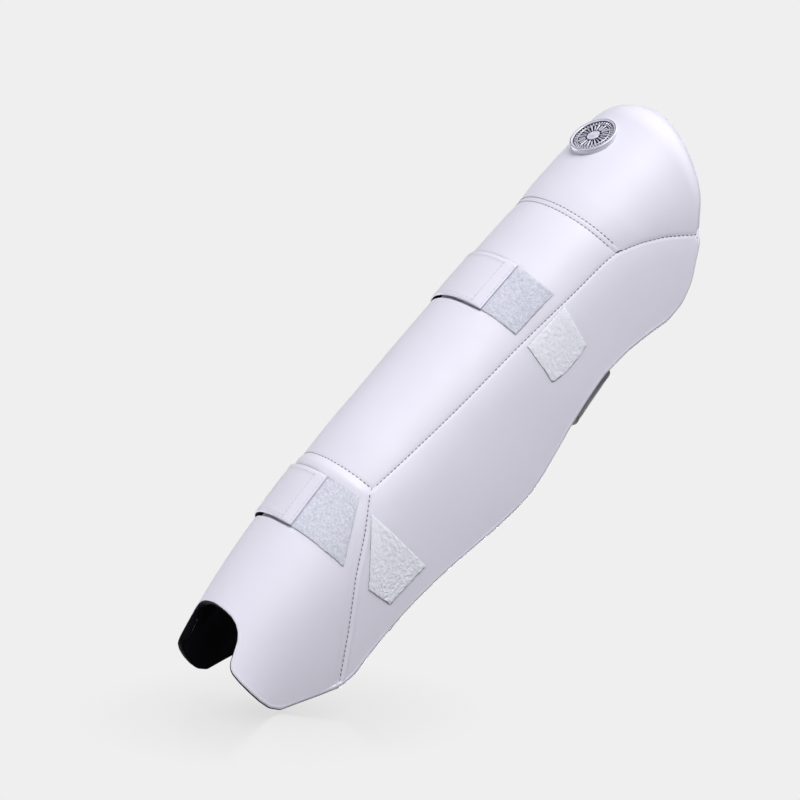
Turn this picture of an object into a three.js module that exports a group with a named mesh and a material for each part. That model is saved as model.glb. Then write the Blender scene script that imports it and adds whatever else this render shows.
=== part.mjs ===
// Cricket leg pad: a one-piece U-shaped shell (knee dome, shin, instep and two side wings) built up
// of cover, stiffener, foam and lining, with leg cushions inside, a round badge, loop-tape patches
// and two straps that pass behind the calf and close over the front.
//
// Millimetres, +Z up along the shin. The front of the pad faces -Y and +X is the outer side.
// x = 0 is the shell's plane of symmetry, z = 0 the tip of the two bottom tongues, and the leg's
// axis is near x = 0, y = 0. Points on the shell are given as (arc, z): arc is the distance round
// the outside from the front centre line, positive towards +X.
import * as THREE from 'three';

// ---------------------------------------------------------------- driving dimensions
// depths of the layers below the outer surface
const COVER_DEPTH = 1.8;
const PLATE = { outer: 2.4, inner: 4.0 };
const FOAM = { outer: 4.6, inner: 13.0 };
const LINING = { outer: 13.6, inner: 14.8 };
const CUSHION_DEPTH = 16.0;
const EDGE_THIN = 0.42; // the layers thin down to this share at the open edges
const EDGE_RUN = 42; // over this distance
const BINDING_WIDTH = 2.2;
const PANEL_INSET = BINDING_WIDTH + 0.35; // from the open edges to the panels
const SEAM_GAP = 0.35; // half of the gap between two panels at a seam
const ANKLE_Z = 191.5; // level seam between instep and shin
const ANKLE_HALF = 60; // arc at which it turns into the slanting seam
const KNEE_Z = 484; // level seam between shin and knee dome
const KNEE_HALF = 90;
const WING_SPLIT_Z = 189; // the wing meets the instep below, the shin above
const SIDES = { outer: 1, inner: -1 };

// horizontal sections: z, radius of the front arc, y of the front line
const SECTIONS = [
  [0, 56.25, -57.61], [59, 60.68, -68.56], [109, 63.64, -74.8], [169, 66.21, -79.02],
  [219, 67.88, -80.52], [279, 69.41, -80.52], [349, 70.99, -80.52], [419, 72.66, -79.94],
  [499, 74.69, -78.4], [569, 76.67, -76.06], [639, 78.84, -72.54],
];
const RADIUS = 1; // columns of SECTIONS
const FRONT_Y = 2;
const FRONT_TURN = 52 * Math.PI / 180; // angle the front arc turns through
const EASE = 55; // length over which the curvature falls to that of the sides
const SIDE_CURVATURE = 1 / 500;

// the top rim rolls back through this angle; its radius shrinks from the middle to the ends
const ROLL_ANGLE = 78 * Math.PI / 180;
const ROLL = { middleRadius: 31, radiusLoss: 17, power: 1.5 };

// outlines as (arc, z)
const TOP = [[0, 621], [30, 618], [60, 610], [90, 597.5], [115, 581], [135, 557]];
const BOTTOM = [
  [0, 40], [15, 39], [25, 37.5], [31, 35], [36, 31], [39.5, 25.5], [42, 16], [44, 8], [47, 4],
  [51, 2], [60, 0.6], [72, 0], [84, 0.3], [94, 1.8], [104, 7], [116, 22], [129, 38], [142, 55],
];
// open rear edge and seams as (z, arc)
const REAR = [
  [38, 129], [55, 142], [70, 147], [95, 148], [124, 150], [149, 153], [181, 158], [211, 164],
  [240, 170], [267, 173.5], [285, 174.5], [304, 172], [330, 167], [350, 162.5], [379, 158],
  [402, 155.5], [432, 157.5], [459, 163], [477, 168], [498, 167.5], [517, 161], [540, 146],
  [550, 140], [557, 135],
];
const WING_SEAM = [
  [189, 60], [222, 65], [285, 72], [372, 79], [435, 85], [469, 87.5], [484, 90], [490, 92.5],
  [506, 100], [527, 114], [550, 135],
];
const LOW_SEAM = [[56, 139], [94, 117], [129, 94], [160, 78], [189, 60]];

// ---------------------------------------------------------------- curves
const mix = (from, to, share) => from + (to - from) * share;
const steps = (from, to, count) =>
  Array.from({ length: count + 1 }, (_, i) => from + (to - from) * i / count);

// piecewise linear through a table, constant beyond its ends
function linear(table, x) {
  const next = table.findIndex(([knot]) => x <= knot);
  if (next < 0) return table.at(-1)[1];
  if (next === 0) return table[0][1];
  const [[x0, y0], [x1, y1]] = table.slice(next - 1, next + 1);
  return y0 + (y1 - y0) * (x - x0) / (x1 - x0);
}

// cubic through a table's knots, end slopes one-sided, straight beyond the ends
function cubic(table, x, column = 1) {
  const last = table.length - 1;
  const value = i => table[i][column];
  const slope = i => {
    const before = Math.max(i - 1, 0);
    const after = Math.min(i + 1, last);
    return (value(after) - value(before)) / (table[after][0] - table[before][0]);
  };
  const straight = i => value(i) + slope(i) * (x - table[i][0]);
  if (x <= table[0][0]) return straight(0);
  if (x >= table[last][0]) return straight(last);
  let i = 0;
  while (x > table[i + 1][0]) i++;
  const width = table[i + 1][0] - table[i][0];
  const t = (x - table[i][0]) / width;
  const square = t * t;
  const cube = square * t;
  return (2 * cube - 3 * square + 1) * value(i) + (cube - 2 * square + t) * width * slope(i)
    + (-2 * cube + 3 * square) * value(i + 1) + (cube - square) * width * slope(i + 1);
}

function smooth(share) {
  const t = Math.min(1, Math.max(0, share));
  return t * t * (3 - 2 * t);
}

const [TOP_END] = TOP.at(-1);
const TOP_KNOTS = [[-TOP[1][0], TOP[1][1]], ...TOP]; // one mirrored knot keeps the middle level
const topArc = arc => Math.min(Math.abs(arc), TOP_END);
const rollRadius = arc =>
  ROLL.middleRadius - ROLL.radiusLoss * Math.pow(topArc(arc) / TOP_END, ROLL.power);
// height where the rim starts to roll back
const rollZ = arc => cubic(TOP_KNOTS, topArc(arc)) - rollRadius(arc) * Math.sin(ROLL_ANGLE);
// the rim's end, measured along the surface
const rimEndZ = arc => rollZ(arc) + rollRadius(arc) * ROLL_ANGLE;
const rearArc = z => linear(REAR, z);

const swapColumns = table => table.map(([a, b]) => [b, a]);
const KNEE_SEAM_SLANT = swapColumns(WING_SEAM).filter(([arc]) => arc >= KNEE_HALF);
const LOW_SEAM_SLANT = swapColumns(LOW_SEAM).reverse();
const kneeSeamZ = arc =>
  Math.abs(arc) <= KNEE_HALF ? KNEE_Z : linear(KNEE_SEAM_SLANT, Math.abs(arc));
const lowSeamZ = arc =>
  Math.abs(arc) <= ANKLE_HALF ? ANKLE_Z : linear(LOW_SEAM_SLANT, Math.abs(arc));

// ---------------------------------------------------------------- the outer surface
const SIMPSON_STEPS = 24;
const REAR_LIMIT_Z = 556; // the rear edge is held constant above this
const COVER_EXTRA_SHARE = 0.25; // the cover thins less than the other layers
const vec = (x, y, z) => new THREE.Vector3(x, y, z);

// angle the horizontal section has turned through at a distance arc >= 0
function heading(arc, z) {
  const radius = cubic(SECTIONS, z, RADIUS);
  const curvature = 1 / radius;
  const frontEnd = radius * FRONT_TURN;
  const eased = Math.min(Math.max(arc - frontEnd, 0), EASE);
  return Math.min(arc, frontEnd) * curvature
    + curvature * eased + (SIDE_CURVATURE - curvature) * eased * eased / (2 * EASE)
    + Math.max(arc - frontEnd - EASE, 0) * SIDE_CURVATURE;
}

// the surface without the rolled rim: Simpson's rule along the section
function unrolledPoint(arc, z) {
  const step = Math.abs(arc) / SIMPSON_STEPS;
  let x = 0;
  let y = 0;
  for (let i = 0; i <= SIMPSON_STEPS; i++) {
    const factor = i === 0 || i === SIMPSON_STEPS ? 1 : i % 2 ? 4 : 2;
    const angle = heading(i * step, z);
    x += factor * step / 3 * Math.cos(angle);
    y += factor * step / 3 * Math.sin(angle);
  }
  return vec(Math.sign(arc) * x, y + cubic(SECTIONS, z, FRONT_Y), z);
}

function surfacePoint(arc, z) {
  const startZ = rollZ(arc);
  if (z <= startZ) return unrolledPoint(arc, z);
  const radius = rollRadius(arc);
  const rolled = (z - startZ) / radius;
  const start = unrolledPoint(arc, startZ);
  const angle = heading(Math.abs(arc), startZ);
  const inward = radius * (1 - Math.cos(rolled));
  return vec(
    start.x - Math.sign(arc) * Math.sin(angle) * inward,
    start.y + Math.cos(angle) * inward,
    startZ + radius * Math.sin(rolled),
  );
}

function normal(arc, z) {
  const along = surfacePoint(arc + 0.5, z).sub(surfacePoint(arc - 0.5, z));
  const up = surfacePoint(arc, z + 0.5).sub(surfacePoint(arc, z - 0.5));
  return along.cross(up).normalize();
}

// a positive offset is outside the shell
const shellPoint = (arc, z, offset) =>
  surfacePoint(arc, z).addScaledVector(normal(arc, z), offset);
const offsetFace = offset => (arc, z) => shellPoint(arc, z, offset);

// share of the full depth, falling towards the nearest open edge
function edgeShare(arc, z) {
  const distance = Math.min(
    rimEndZ(arc) - z,
    rearArc(Math.min(z, REAR_LIMIT_Z)) - Math.abs(arc),
    z - linear(BOTTOM, Math.abs(arc)),
  );
  return EDGE_THIN + (1 - EDGE_THIN) * smooth(distance / EDGE_RUN);
}
const layerFace = depth => (arc, z) => shellPoint(arc, z, -depth * edgeShare(arc, z));
const coverFace = depth => (arc, z) =>
  shellPoint(arc, z, -depth * Math.min(1, COVER_EXTRA_SHARE + edgeShare(arc, z)));

// ---------------------------------------------------------------- solids
// closed mesh, turned so that its faces look outwards
function solid(verts, faces) {
  let volume = 0;
  for (const [a, b, c] of faces) volume += verts[a].dot(verts[b].clone().cross(verts[c]));
  const index = faces.flatMap(([a, b, c]) => (volume < 0 ? [a, c, b] : [a, b, c]));
  const geometry = new THREE.BufferGeometry();
  const positions = verts.flatMap(vert => vert.toArray());
  geometry.setAttribute('position', new THREE.Float32BufferAttribute(positions, 3));
  geometry.setIndex(index);
  geometry.computeVertexNormals();
  return geometry;
}

// closed slab over a grid: map(i, j) gives (arc, z), and the two faces are functions of (arc, z)
function slab(columns, rows, map, lower, upper) {
  const verts = [];
  const faces = [];
  for (const face of [lower, upper]) {
    for (let i = 0; i <= columns; i++) {
      for (let j = 0; j <= rows; j++) verts.push(face(...map(i, j)));
    }
  }
  const id = (side, i, j) => (side * (columns + 1) + i) * (rows + 1) + j;
  for (let i = 0; i < columns; i++) {
    for (let j = 0; j < rows; j++) {
      const [low, high] = [0, 1].map(side =>
        [id(side, i, j), id(side, i + 1, j), id(side, i + 1, j + 1), id(side, i, j + 1)]);
      faces.push([low[0], low[2], low[1]], [low[0], low[3], low[2]]);
      faces.push([high[0], high[1], high[2]], [high[0], high[2], high[3]]);
    }
  }
  const rim = [];
  for (let i = 0; i < columns; i++) rim.push([i, 0]);
  for (let j = 0; j < rows; j++) rim.push([columns, j]);
  for (let i = columns; i > 0; i--) rim.push([i, rows]);
  for (let j = rows; j > 0; j--) rim.push([0, j]);
  rim.forEach((here, k) => {
    const next = rim[(k + 1) % rim.length];
    const corner = id(0, ...here);
    const opposite = id(1, ...next);
    faces.push([corner, id(0, ...next), opposite], [corner, opposite, id(1, ...here)]);
  });
  return solid(verts, faces);
}

// evenly divided rectangle, as the first three arguments of slab
const rectangle = (columns, rows, [left, right], [bottom, top]) => [
  columns, rows, (i, j) => [mix(left, right, i / columns), mix(bottom, top, j / rows)],
];

// sweep of a closed section: sections[i] holds the section's points at step i
function sweep(sections) {
  const count = sections[0].length;
  const faces = [];
  for (let i = 0; i + 1 < sections.length; i++) {
    for (let j = 0; j < count; j++) {
      const a = i * count + j;
      const b = i * count + (j + 1) % count;
      faces.push([a, b, b + count], [a, b + count, a + count]);
    }
  }
  const end = (sections.length - 1) * count;
  for (let j = 1; j + 1 < count; j++) faces.push([0, j + 1, j], [end, end + j, end + j + 1]);
  return solid(sections.flat(), faces);
}

// moves a line to its left, limiting the reach at sharp corners
function offsetLine(line, distance) {
  const MITRE_LIMIT = 1.4;
  const leftOf = ([x0, y0], [x1, y1]) => {
    const length = Math.hypot(x1 - x0, y1 - y0);
    return [-(y1 - y0) / length, (x1 - x0) / length];
  };
  const last = line.length - 1;
  return line.map((here, i) => {
    const before = i ? leftOf(line[i - 1], here) : leftOf(here, line[1]);
    const after = i < last ? leftOf(here, line[i + 1]) : leftOf(line[last - 1], here);
    const sum = [before[0] + after[0], before[1] + after[1]];
    const reach = distance * Math.min(2 / (sum[0] ** 2 + sum[1] ** 2), MITRE_LIMIT);
    return [here[0] + sum[0] * reach, here[1] + sum[1] * reach];
  });
}

// full line from its +X half, which starts on the centre line
const bothSides = half => [...half.slice(1).map(([arc, z]) => [-arc, z]).reverse(), ...half];

// ---------------------------------------------------------------- materials
const standard = options => new THREE.MeshStandardMaterial(options);
const MATERIALS = {
  cover: standard({ color: 0xf0eff6, roughness: 0.42 }),
  binding: standard({ color: 0xe6e5ee, roughness: 0.45 }),
  plate: standard({ color: 0xd9dde2, roughness: 0.5 }),
  foam: standard({ color: 0xc9ccd2, roughness: 0.9 }),
  lining: standard({ color: 0x101014, roughness: 0.75 }),
  cushion: standard({ color: 0x17171c, roughness: 0.85 }),
  loop: standard({ color: 0xcdd3dc, roughness: 0.95 }),
  hook: standard({ color: 0xd8dbe0, roughness: 0.8 }),
  strap: standard({ color: 0xefeef5, roughness: 0.45 }),
  webbing: standard({ color: 0xb9bcc4, roughness: 0.85 }),
  steel: standard({ color: 0xc8cad0, roughness: 0.25, metalness: 1 }),
  disc: standard({ color: 0x26282e, roughness: 0.45, metalness: 0.8 }),
  rubber: standard({ color: 0x2a2a2e, roughness: 0.8 }),
};
const group = new THREE.Group();
function add(name, geometry, material) {
  const mesh = new THREE.Mesh(geometry, MATERIALS[material]);
  mesh.name = name;
  group.add(mesh);
}

// ---------------------------------------------------------------- shell panels
const MIN_SPAN = 0.8; // least extent of a grid line where a panel runs out
const KNEE = { half: 132.4, seamExtra: 0.1, coarseInset: 1.2 };
const INSTEP = { half: 136.6, slantGap: 0.9, corner: [141.2, 54] };
const WING = { slantGap: 0.75, slantZ: 490, fineInset: 0.3, coarseInset: 2.5 };
const WING_ROWS = [
  58.5, 75, 95, 124, 149, 170, 189, 211, 240, 267, 285, 304,
  330, 350, 379, 402, 432, 459, 477, 498, 517, 533, 546,
];

// a panel's cover is cut on a fine grid, its foam and lining on a coarse one
function panel(name, fine, coarse) {
  add(`${name}_cover`, slab(...fine, coverFace(COVER_DEPTH), coverFace(0)), 'cover');
  add(`${name}_foam`, slab(...coarse, layerFace(FOAM.inner), layerFace(FOAM.outer)), 'foam');
  add(`${name}_lining`, slab(...coarse, layerFace(LINING.inner), layerFace(LINING.outer)),
    'lining');
}

// shin: between the two level seams and the wing seams
function shinGrid(columns, rows) {
  return [columns, rows, (i, j) => {
    const z = mix(ANKLE_Z + SEAM_GAP, KNEE_Z - SEAM_GAP, j / rows);
    const half = linear(WING_SEAM, z) - SEAM_GAP;
    return [mix(-half, half, i / columns), z];
  }];
}

// knee dome: from the knee seam to the rolled rim, which takes half of the rows
function kneeGrid(columns, rows, inset) {
  const arcs = steps(-KNEE.half, KNEE.half, columns);
  const rimRow = Math.ceil(rows / 2);
  const slope = (height, arc) => (height(arc + 1) - height(arc - 1)) / 2;
  return [columns, rows, (i, j) => {
    const arc = arcs[i];
    const top = rimEndZ(arc) - (PANEL_INSET + inset) * Math.hypot(1, slope(rimEndZ, arc));
    const seamSlope = Math.abs(arc) > KNEE_HALF ? slope(kneeSeamZ, arc) : 0;
    const bottom = kneeSeamZ(arc) + SEAM_GAP * Math.hypot(1, seamSlope) + KNEE.seamExtra;
    const middle = Math.max(bottom + 1, Math.min(rollZ(arc), top - 1));
    const z = j <= rimRow ? mix(bottom, middle, j / rimRow)
      : mix(middle, top, (j - rimRow) / (rows - rimRow));
    return [arc, z];
  }];
}

// bottom edge of the instep: the inset outline, cut off at the panel's half width
function instepEdge() {
  const edge = offsetLine([...BOTTOM.slice(0, -1), INSTEP.corner], PANEL_INSET);
  const [[arc0, z0], [arc1, z1]] = edge.slice(-2);
  const share = (INSTEP.half - arc0) / (arc1 - arc0);
  edge[edge.length - 1] = [INSTEP.half, mix(z0, z1, share)];
  edge[0] = [0, BOTTOM[0][1] + PANEL_INSET];
  return bothSides(edge);
}

// instep: from the ankle seam down to the arch and the two tongues
function instepGrid(rows) {
  const edge = instepEdge();
  return [edge.length - 1, rows, (i, j) => {
    const [arc, bottom] = edge[i];
    const top = lowSeamZ(arc) - (Math.abs(arc) > ANKLE_HALF ? INSTEP.slantGap : SEAM_GAP);
    return [arc, mix(bottom, Math.max(top, bottom + MIN_SPAN), j / rows)];
  }];
}

// side wing: from the front seams round to the open rear edge
function wingGrid(sign, columns, heights, inset) {
  return [columns, heights.length - 1, (i, j) => {
    const z = heights[j];
    const low = z < WING_SPLIT_Z;
    const front = linear(low ? LOW_SEAM : WING_SEAM, z)
      + (low || z > WING.slantZ ? WING.slantGap : SEAM_GAP);
    const slope = (rearArc(z + 2) - rearArc(z - 2)) / 4;
    const rear = rearArc(z) - PANEL_INSET * Math.hypot(1, slope) - inset;
    return [sign * mix(front, Math.max(rear, front + MIN_SPAN), i / columns), z];
  }];
}

panel('shin', shinGrid(14, 8), shinGrid(10, 4));
panel('knee', kneeGrid(20, 8, 0), kneeGrid(14, 6, KNEE.coarseInset));
panel('instep', instepGrid(5), instepGrid(3));
const COARSE_WING_ROWS = WING_ROWS.filter((z, i) => i % 2 === 0);
for (const [side, sign] of Object.entries(SIDES)) {
  panel(`${side}_wing`, wingGrid(sign, 5, WING_ROWS, WING.fineInset),
    wingGrid(sign, 6, COARSE_WING_ROWS, WING.coarseInset));
}

// stiffener plates under the shin and knee covers
function plate(name, rows, half, heights) {
  const grid = rectangle(8, rows, [-half, half], heights);
  add(name, slab(...grid, offsetFace(-PLATE.inner), offsetFace(-PLATE.outer)), 'plate');
}
plate('shin_plate', 4, 44, [214, 462]);
plate('knee_plate', 3, 52, [500, 578]);

// ---------------------------------------------------------------- edge bindings
// depths of the binding's corners: at the outline and, on the back, inside it
const BINDING_DEPTH = { edgeFront: 0.9, edgeBackLess: 0.7, innerBackMore: 0.2 };
const REAR_BINDING = { start: [142.6, 57], end: [141.5, 547] }; // (arc, z)
const BOTTOM_BINDING_END = [140.6, 53.2];

// inward: the side of the line the shell lies on, +1 for its left
function binding(name, line, inward) {
  const inner = offsetLine(line, inward * BINDING_WIDTH);
  const thickness = LINING.inner * EDGE_THIN;
  add(name, sweep(line.map((edge, i) => [
    shellPoint(...edge, -BINDING_DEPTH.edgeFront),
    shellPoint(...inner[i], 0),
    shellPoint(...inner[i], -thickness - BINDING_DEPTH.innerBackMore),
    shellPoint(...edge, -thickness + BINDING_DEPTH.edgeBackLess),
  ])), 'binding');
}
binding('top_binding', bothSides(steps(0, 134, 9).map(arc => [arc, rimEndZ(arc)])), -1);
const rearLine = [
  REAR_BINDING.start,
  ...swapColumns(REAR.filter(([z]) => z > 56 && z < 545)),
  REAR_BINDING.end,
];
for (const [side, sign] of Object.entries(SIDES)) {
  binding(`${side}_binding`, rearLine.map(([arc, z]) => [sign * arc, z]), sign);
}
binding('bottom_binding', bothSides([...BOTTOM.slice(0, -1), BOTTOM_BINDING_END]), 1);

// ---------------------------------------------------------------- leg cushions
// front face on the lining side of the shell, flat back face at y = backY
function flatCushion(name, half, heights, backY, columns, rows) {
  const BACK_NARROWING = 0.97;
  const front = offsetFace(-CUSHION_DEPTH);
  const back = (arc, z) => vec(front(arc, z).x * BACK_NARROWING, backY, z);
  const grid = rectangle(columns, rows, [-half, half], heights);
  add(name, slab(...grid, front, back), 'cushion');
}
flatCushion('shin_cushion', 36, [226, 456], -44, 8, 4);
flatCushion('knee_cushion', 30, [500, 572], -46, 6, 3);
flatCushion('instep_cushion', 26, [98, 184], -45, 6, 3);

// long pad beside the cushions, rounded across its width
function bolster(name, [start, end], heights, thickness) {
  const PROFILE = [0.35, 0.85, 1, 0.85, 0.35]; // share of the thickness at each column
  const inner = (arc, z) => {
    const share = PROFILE[Math.round((arc - start) / (end - start) * 4)];
    return shellPoint(arc, z, -CUSHION_DEPTH - thickness * share);
  };
  const grid = rectangle(4, 4, [start, end], heights);
  add(name, slab(...grid, inner, offsetFace(-CUSHION_DEPTH)), 'cushion');
}
for (const [side, sign] of Object.entries(SIDES)) {
  bolster(`${side}_shin_bolster`, [sign * 54, sign * 92], [226, 452], 14);
  bolster(`${side}_knee_bolster`, [sign * 46, sign * 88], [500, 566], 13);
}

// ---------------------------------------------------------------- loop-tape patches
const PATCH = { back: 0.4, front: 1.35 }; // heights above the shell

// corners (arc, z): bottom left, bottom right, top right, top left
function patch(name, [bottomLeft, bottomRight, topRight, topLeft], columns, rows) {
  const map = (i, j) => [0, 1].map(axis => mix(
    mix(bottomLeft[axis], bottomRight[axis], i / columns),
    mix(topLeft[axis], topRight[axis], i / columns),
    j / rows,
  ));
  add(name, slab(columns, rows, map, offsetFace(PATCH.back), offsetFace(PATCH.front)), 'loop');
}
patch('upper_front_patch', [[-6, 371], [70, 371], [72, 420], [-6, 421]], 10, 2);
patch('upper_wing_patch', [[84, 370], [121, 364], [123, 408], [86, 418]], 4, 2);
patch('lower_front_patch', [[-10, 126], [80, 127], [56, 179], [-10, 178]], 10, 2);
patch('lower_wing_patch', [[110, 128], [134, 132], [139, 176], [72, 175]], 5, 3);

// ---------------------------------------------------------------- badge on the knee dome
const BADGE = { z: 564, radius: 21, height: 3.4, tilt: 4 * Math.PI / 180, standOff: 0.9 };
const BADGE_BASE = 0.4; // height of the rim's and disc's backs over the badge plane
const RIM_WIDTH = 3.6;
const DISC = { radius: BADGE.radius - 3.95, top: 1.7 };
const GASKET = { radii: [7, 13.5, 19.6], clearance: 0.55 };

const badgeAxis = vec(0, -Math.cos(BADGE.tilt), Math.sin(BADGE.tilt));
const badgeUp = vec(0, Math.sin(BADGE.tilt), Math.cos(BADGE.tilt));
const badgeCentre = vec(0, cubic(SECTIONS, BADGE.z, FRONT_Y), BADGE.z)
  .addScaledVector(badgeAxis, BADGE.standOff);

// point i of count round the badge's axis
function badgePoint(radius, height, i, count) {
  const angle = 2 * Math.PI * i / count;
  return badgeCentre.clone()
    .add(vec(radius * Math.cos(angle), 0, 0))
    .addScaledVector(badgeUp, radius * Math.sin(angle))
    .addScaledVector(badgeAxis, height);
}

function badgeRim() {
  const { radius, height } = BADGE;
  const profile = [ // radius, height
    [radius - RIM_WIDTH, BADGE_BASE], [radius - 0.5, BADGE_BASE], [radius, 0.9],
    [radius, height - 1], [radius - 0.9, height], [radius - 2.2, height],
    [radius - RIM_WIDTH, height - 1.3],
  ];
  const sections = steps(0, 30, 30).map(i => profile.map(point => badgePoint(...point, i, 30)));
  const verts = sections.slice(0, -1).flat();
  const count = profile.length;
  const faces = [];
  for (let i = 0; i < 30; i++) {
    for (let j = 0; j < count; j++) {
      const here = i * count;
      const next = (i + 1) % 30 * count;
      const after = (j + 1) % count;
      faces.push([here + j, here + after, next + after], [here + j, next + after, next + j]);
    }
  }
  add('badge_rim', solid(verts, faces), 'steel');
}

function badgeDisc() {
  const SEGMENTS = 32;
  const verts = [badgePoint(0, BADGE_BASE, 0, 1), badgePoint(0, DISC.top, 0, 1)];
  const faces = [];
  for (let i = 0; i < SEGMENTS; i++) {
    verts.push(badgePoint(DISC.radius, BADGE_BASE, i, SEGMENTS));
    verts.push(badgePoint(DISC.radius, DISC.top, i, SEGMENTS));
    const here = 2 + 2 * i;
    const next = 2 + 2 * ((i + 1) % SEGMENTS);
    faces.push([0, next, here], [1, here + 1, next + 1]);
    faces.push([here, next, next + 1], [here, next + 1, here + 1]);
  }
  add('badge_disc', solid(verts, faces), 'disc');
}

// moves a point on the badge plane back to just above the dome, keeping x by Newton's method
function dropToDome({ x, z }) {
  let arc = x;
  for (let i = 0; i < 6; i++) {
    arc += (x - surfacePoint(arc, z).x) / Math.cos(heading(Math.abs(arc), z));
  }
  return shellPoint(arc, z, GASKET.clearance);
}

// gasket: flat front under the badge, back face shaped to the dome
function badgeGasket() {
  const SEGMENTS = 24;
  const front = [badgePoint(0, 0, 0, 1)];
  for (const radius of GASKET.radii) {
    for (let i = 0; i < SEGMENTS; i++) front.push(badgePoint(radius, 0, i, SEGMENTS));
  }
  const back = front.length; // index of the back face's centre
  const last = GASKET.radii.length - 1;
  const id = (start, ring, i) => start + 1 + ring * SEGMENTS + i % SEGMENTS;
  const faces = [];
  for (let i = 0; i < SEGMENTS; i++) {
    faces.push([0, id(0, 0, i + 1), id(0, 0, i)], [back, id(back, 0, i), id(back, 0, i + 1)]);
    for (let ring = 0; ring < last; ring++) {
      for (const start of [0, back]) {
        const a = id(start, ring, i);
        const b = id(start, ring, i + 1);
        const c = id(start, ring + 1, i + 1);
        const d = id(start, ring + 1, i);
        faces.push(...(start ? [[a, c, b], [a, d, c]] : [[a, b, c], [a, c, d]]));
      }
    }
    const a = id(0, last, i);
    const c = id(back, last, i + 1);
    faces.push([a, id(0, last, i + 1), c], [a, c, id(back, last, i)]);
  }
  add('badge_gasket', solid([...front, ...front.map(dropToDome)], faces), 'rubber');
}
badgeRim();
badgeDisc();
badgeGasket();

// ---------------------------------------------------------------- straps
// Each strap: anchor tab inside the outer wing, calf segment behind the leg, side segment outside
// the inner wing, and front segment. They meet at upright folds: anchorFold and rearFold as
// (x, y), frontFold as an arc. calf holds the (x, y) points between rearFold and anchorFold.
// Slopes are the drop per millimetre of run; cushionX and cushionY place the calf cushion.
const HALF_WIDTH = 51 / 2;
const HALF_THICK = 2.5 / 2;
const FOLD_GAP = 1.9; // from a fold to the end of a segment
const STRAPS = {
  upper: {
    z: 396, slope: 0.061, tip: 33, frontFold: -62, rear: -157,
    anchorFold: [67.2, 41], rearFold: [-88.6, 46],
    calf: [
      [-87.6, 54], [-83, 65.5], [-70, 76], [-48, 82], [-22, 84],
      [4, 80], [30, 71.5], [52, 62.5], [63.5, 53], [67.2, 45.5],
    ],
    calfSlope: 0, cushionY: 65, cushionX: [-50, 26],
  },
  lower: {
    z: 152, slope: 0.02, tip: 24, frontFold: -56, rear: -151,
    anchorFold: [60.6, 36], rearFold: [-81.4, 45],
    calf: [
      [-80.4, 51.5], [-74, 58], [-60, 62.5], [-38, 65.5], [0, 67.5],
      [28, 64], [46, 56], [56.5, 47], [60.3, 40],
    ],
    calfSlope: 0.02, cushionY: 54, cushionX: [-36, 36],
  },
};
const distance = (from, to) => Math.hypot(from[0] - to[0], from[1] - to[1]);
const middleZ = (strap, arc) => strap.z - Math.max(strap.frontFold - arc, 0) * strap.slope;

// height of the strap's mid-surface over the shell
function standOff({ rear, frontFold, tip }, arc) {
  return cubic([
    [rear, 2.6], [-100, 2.6], [frontFold, 3.3], [frontFold + 28, 4.3],
    [tip - 36, 4.5], [tip - 12, 4.2], [tip, 4.15],
  ], arc);
}

// Catmull-Rom curve through (x, y) points
function smoothCurve(points, stepsPerSpan) {
  const knots = [points[0], ...points, points.at(-1)];
  const curve = [];
  for (let i = 1; i + 2 < knots.length; i++) {
    for (let k = 0; k < stepsPerSpan; k++) {
      const t = k / stepsPerSpan;
      curve.push([0, 1].map(axis => {
        const [a, b, c, d] = knots.slice(i - 1, i + 3).map(knot => knot[axis]);
        return 0.5 * (2 * b + (c - a) * t + (2 * a - 5 * b + 4 * c - d) * t * t
          + (3 * b - a - 3 * c + d) * t * t * t);
      }));
    }
  }
  return [...curve, points.at(-1)];
}

// upright rectangle centred on a point, its thickness across the direction from -> to
function strapSection([x, y, z], from, to) {
  const scale = HALF_THICK / distance(from, to);
  const acrossX = -(to[1] - from[1]) * scale;
  const acrossY = (to[0] - from[0]) * scale;
  return [[-1, -1], [1, -1], [1, 1], [-1, 1]].map(([side, up]) =>
    vec(x + side * acrossX, y + side * acrossY, z + up * HALF_WIDTH));
}
const strapAlong = line => sweep(line.map((point, i) =>
  strapSection(point, line[Math.max(i - 1, 0)], line[Math.min(i + 1, line.length - 1)])));

// piece lying on the shell between two arcs, its faces at heights over the strap's mid-surface
function onShell(strap, columns, [start, end], halfWidth, [low, high]) {
  const map = (i, j) => {
    const arc = mix(start, end, i / columns);
    return [arc, middleZ(strap, arc) + mix(-halfWidth, halfWidth, j / 2)];
  };
  const face = height => (arc, z) => shellPoint(arc, z, standOff(strap, arc) + height);
  return slab(columns, 2, map, face(low), face(high));
}

function frontSegment(name, strap) {
  const { tip, frontFold } = strap;
  add(`${name}_front_strap`, onShell(strap, 12, [frontFold + FOLD_GAP, tip],
    HALF_WIDTH, [-HALF_THICK, HALF_THICK]), 'strap');
  add(`${name}_strap_tip`, onShell(strap, 2, [tip - 11, tip - 0.2],
    HALF_WIDTH - 0.2, [HALF_THICK + 0.35, HALF_THICK + 1.25]), 'strap');
  add(`${name}_hook_tape`, onShell(strap, 5, [tip - 38, tip - 3],
    HALF_WIDTH - 3, [-HALF_THICK - 1.2, -HALF_THICK - 0.3]), 'hook');
}

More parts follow.
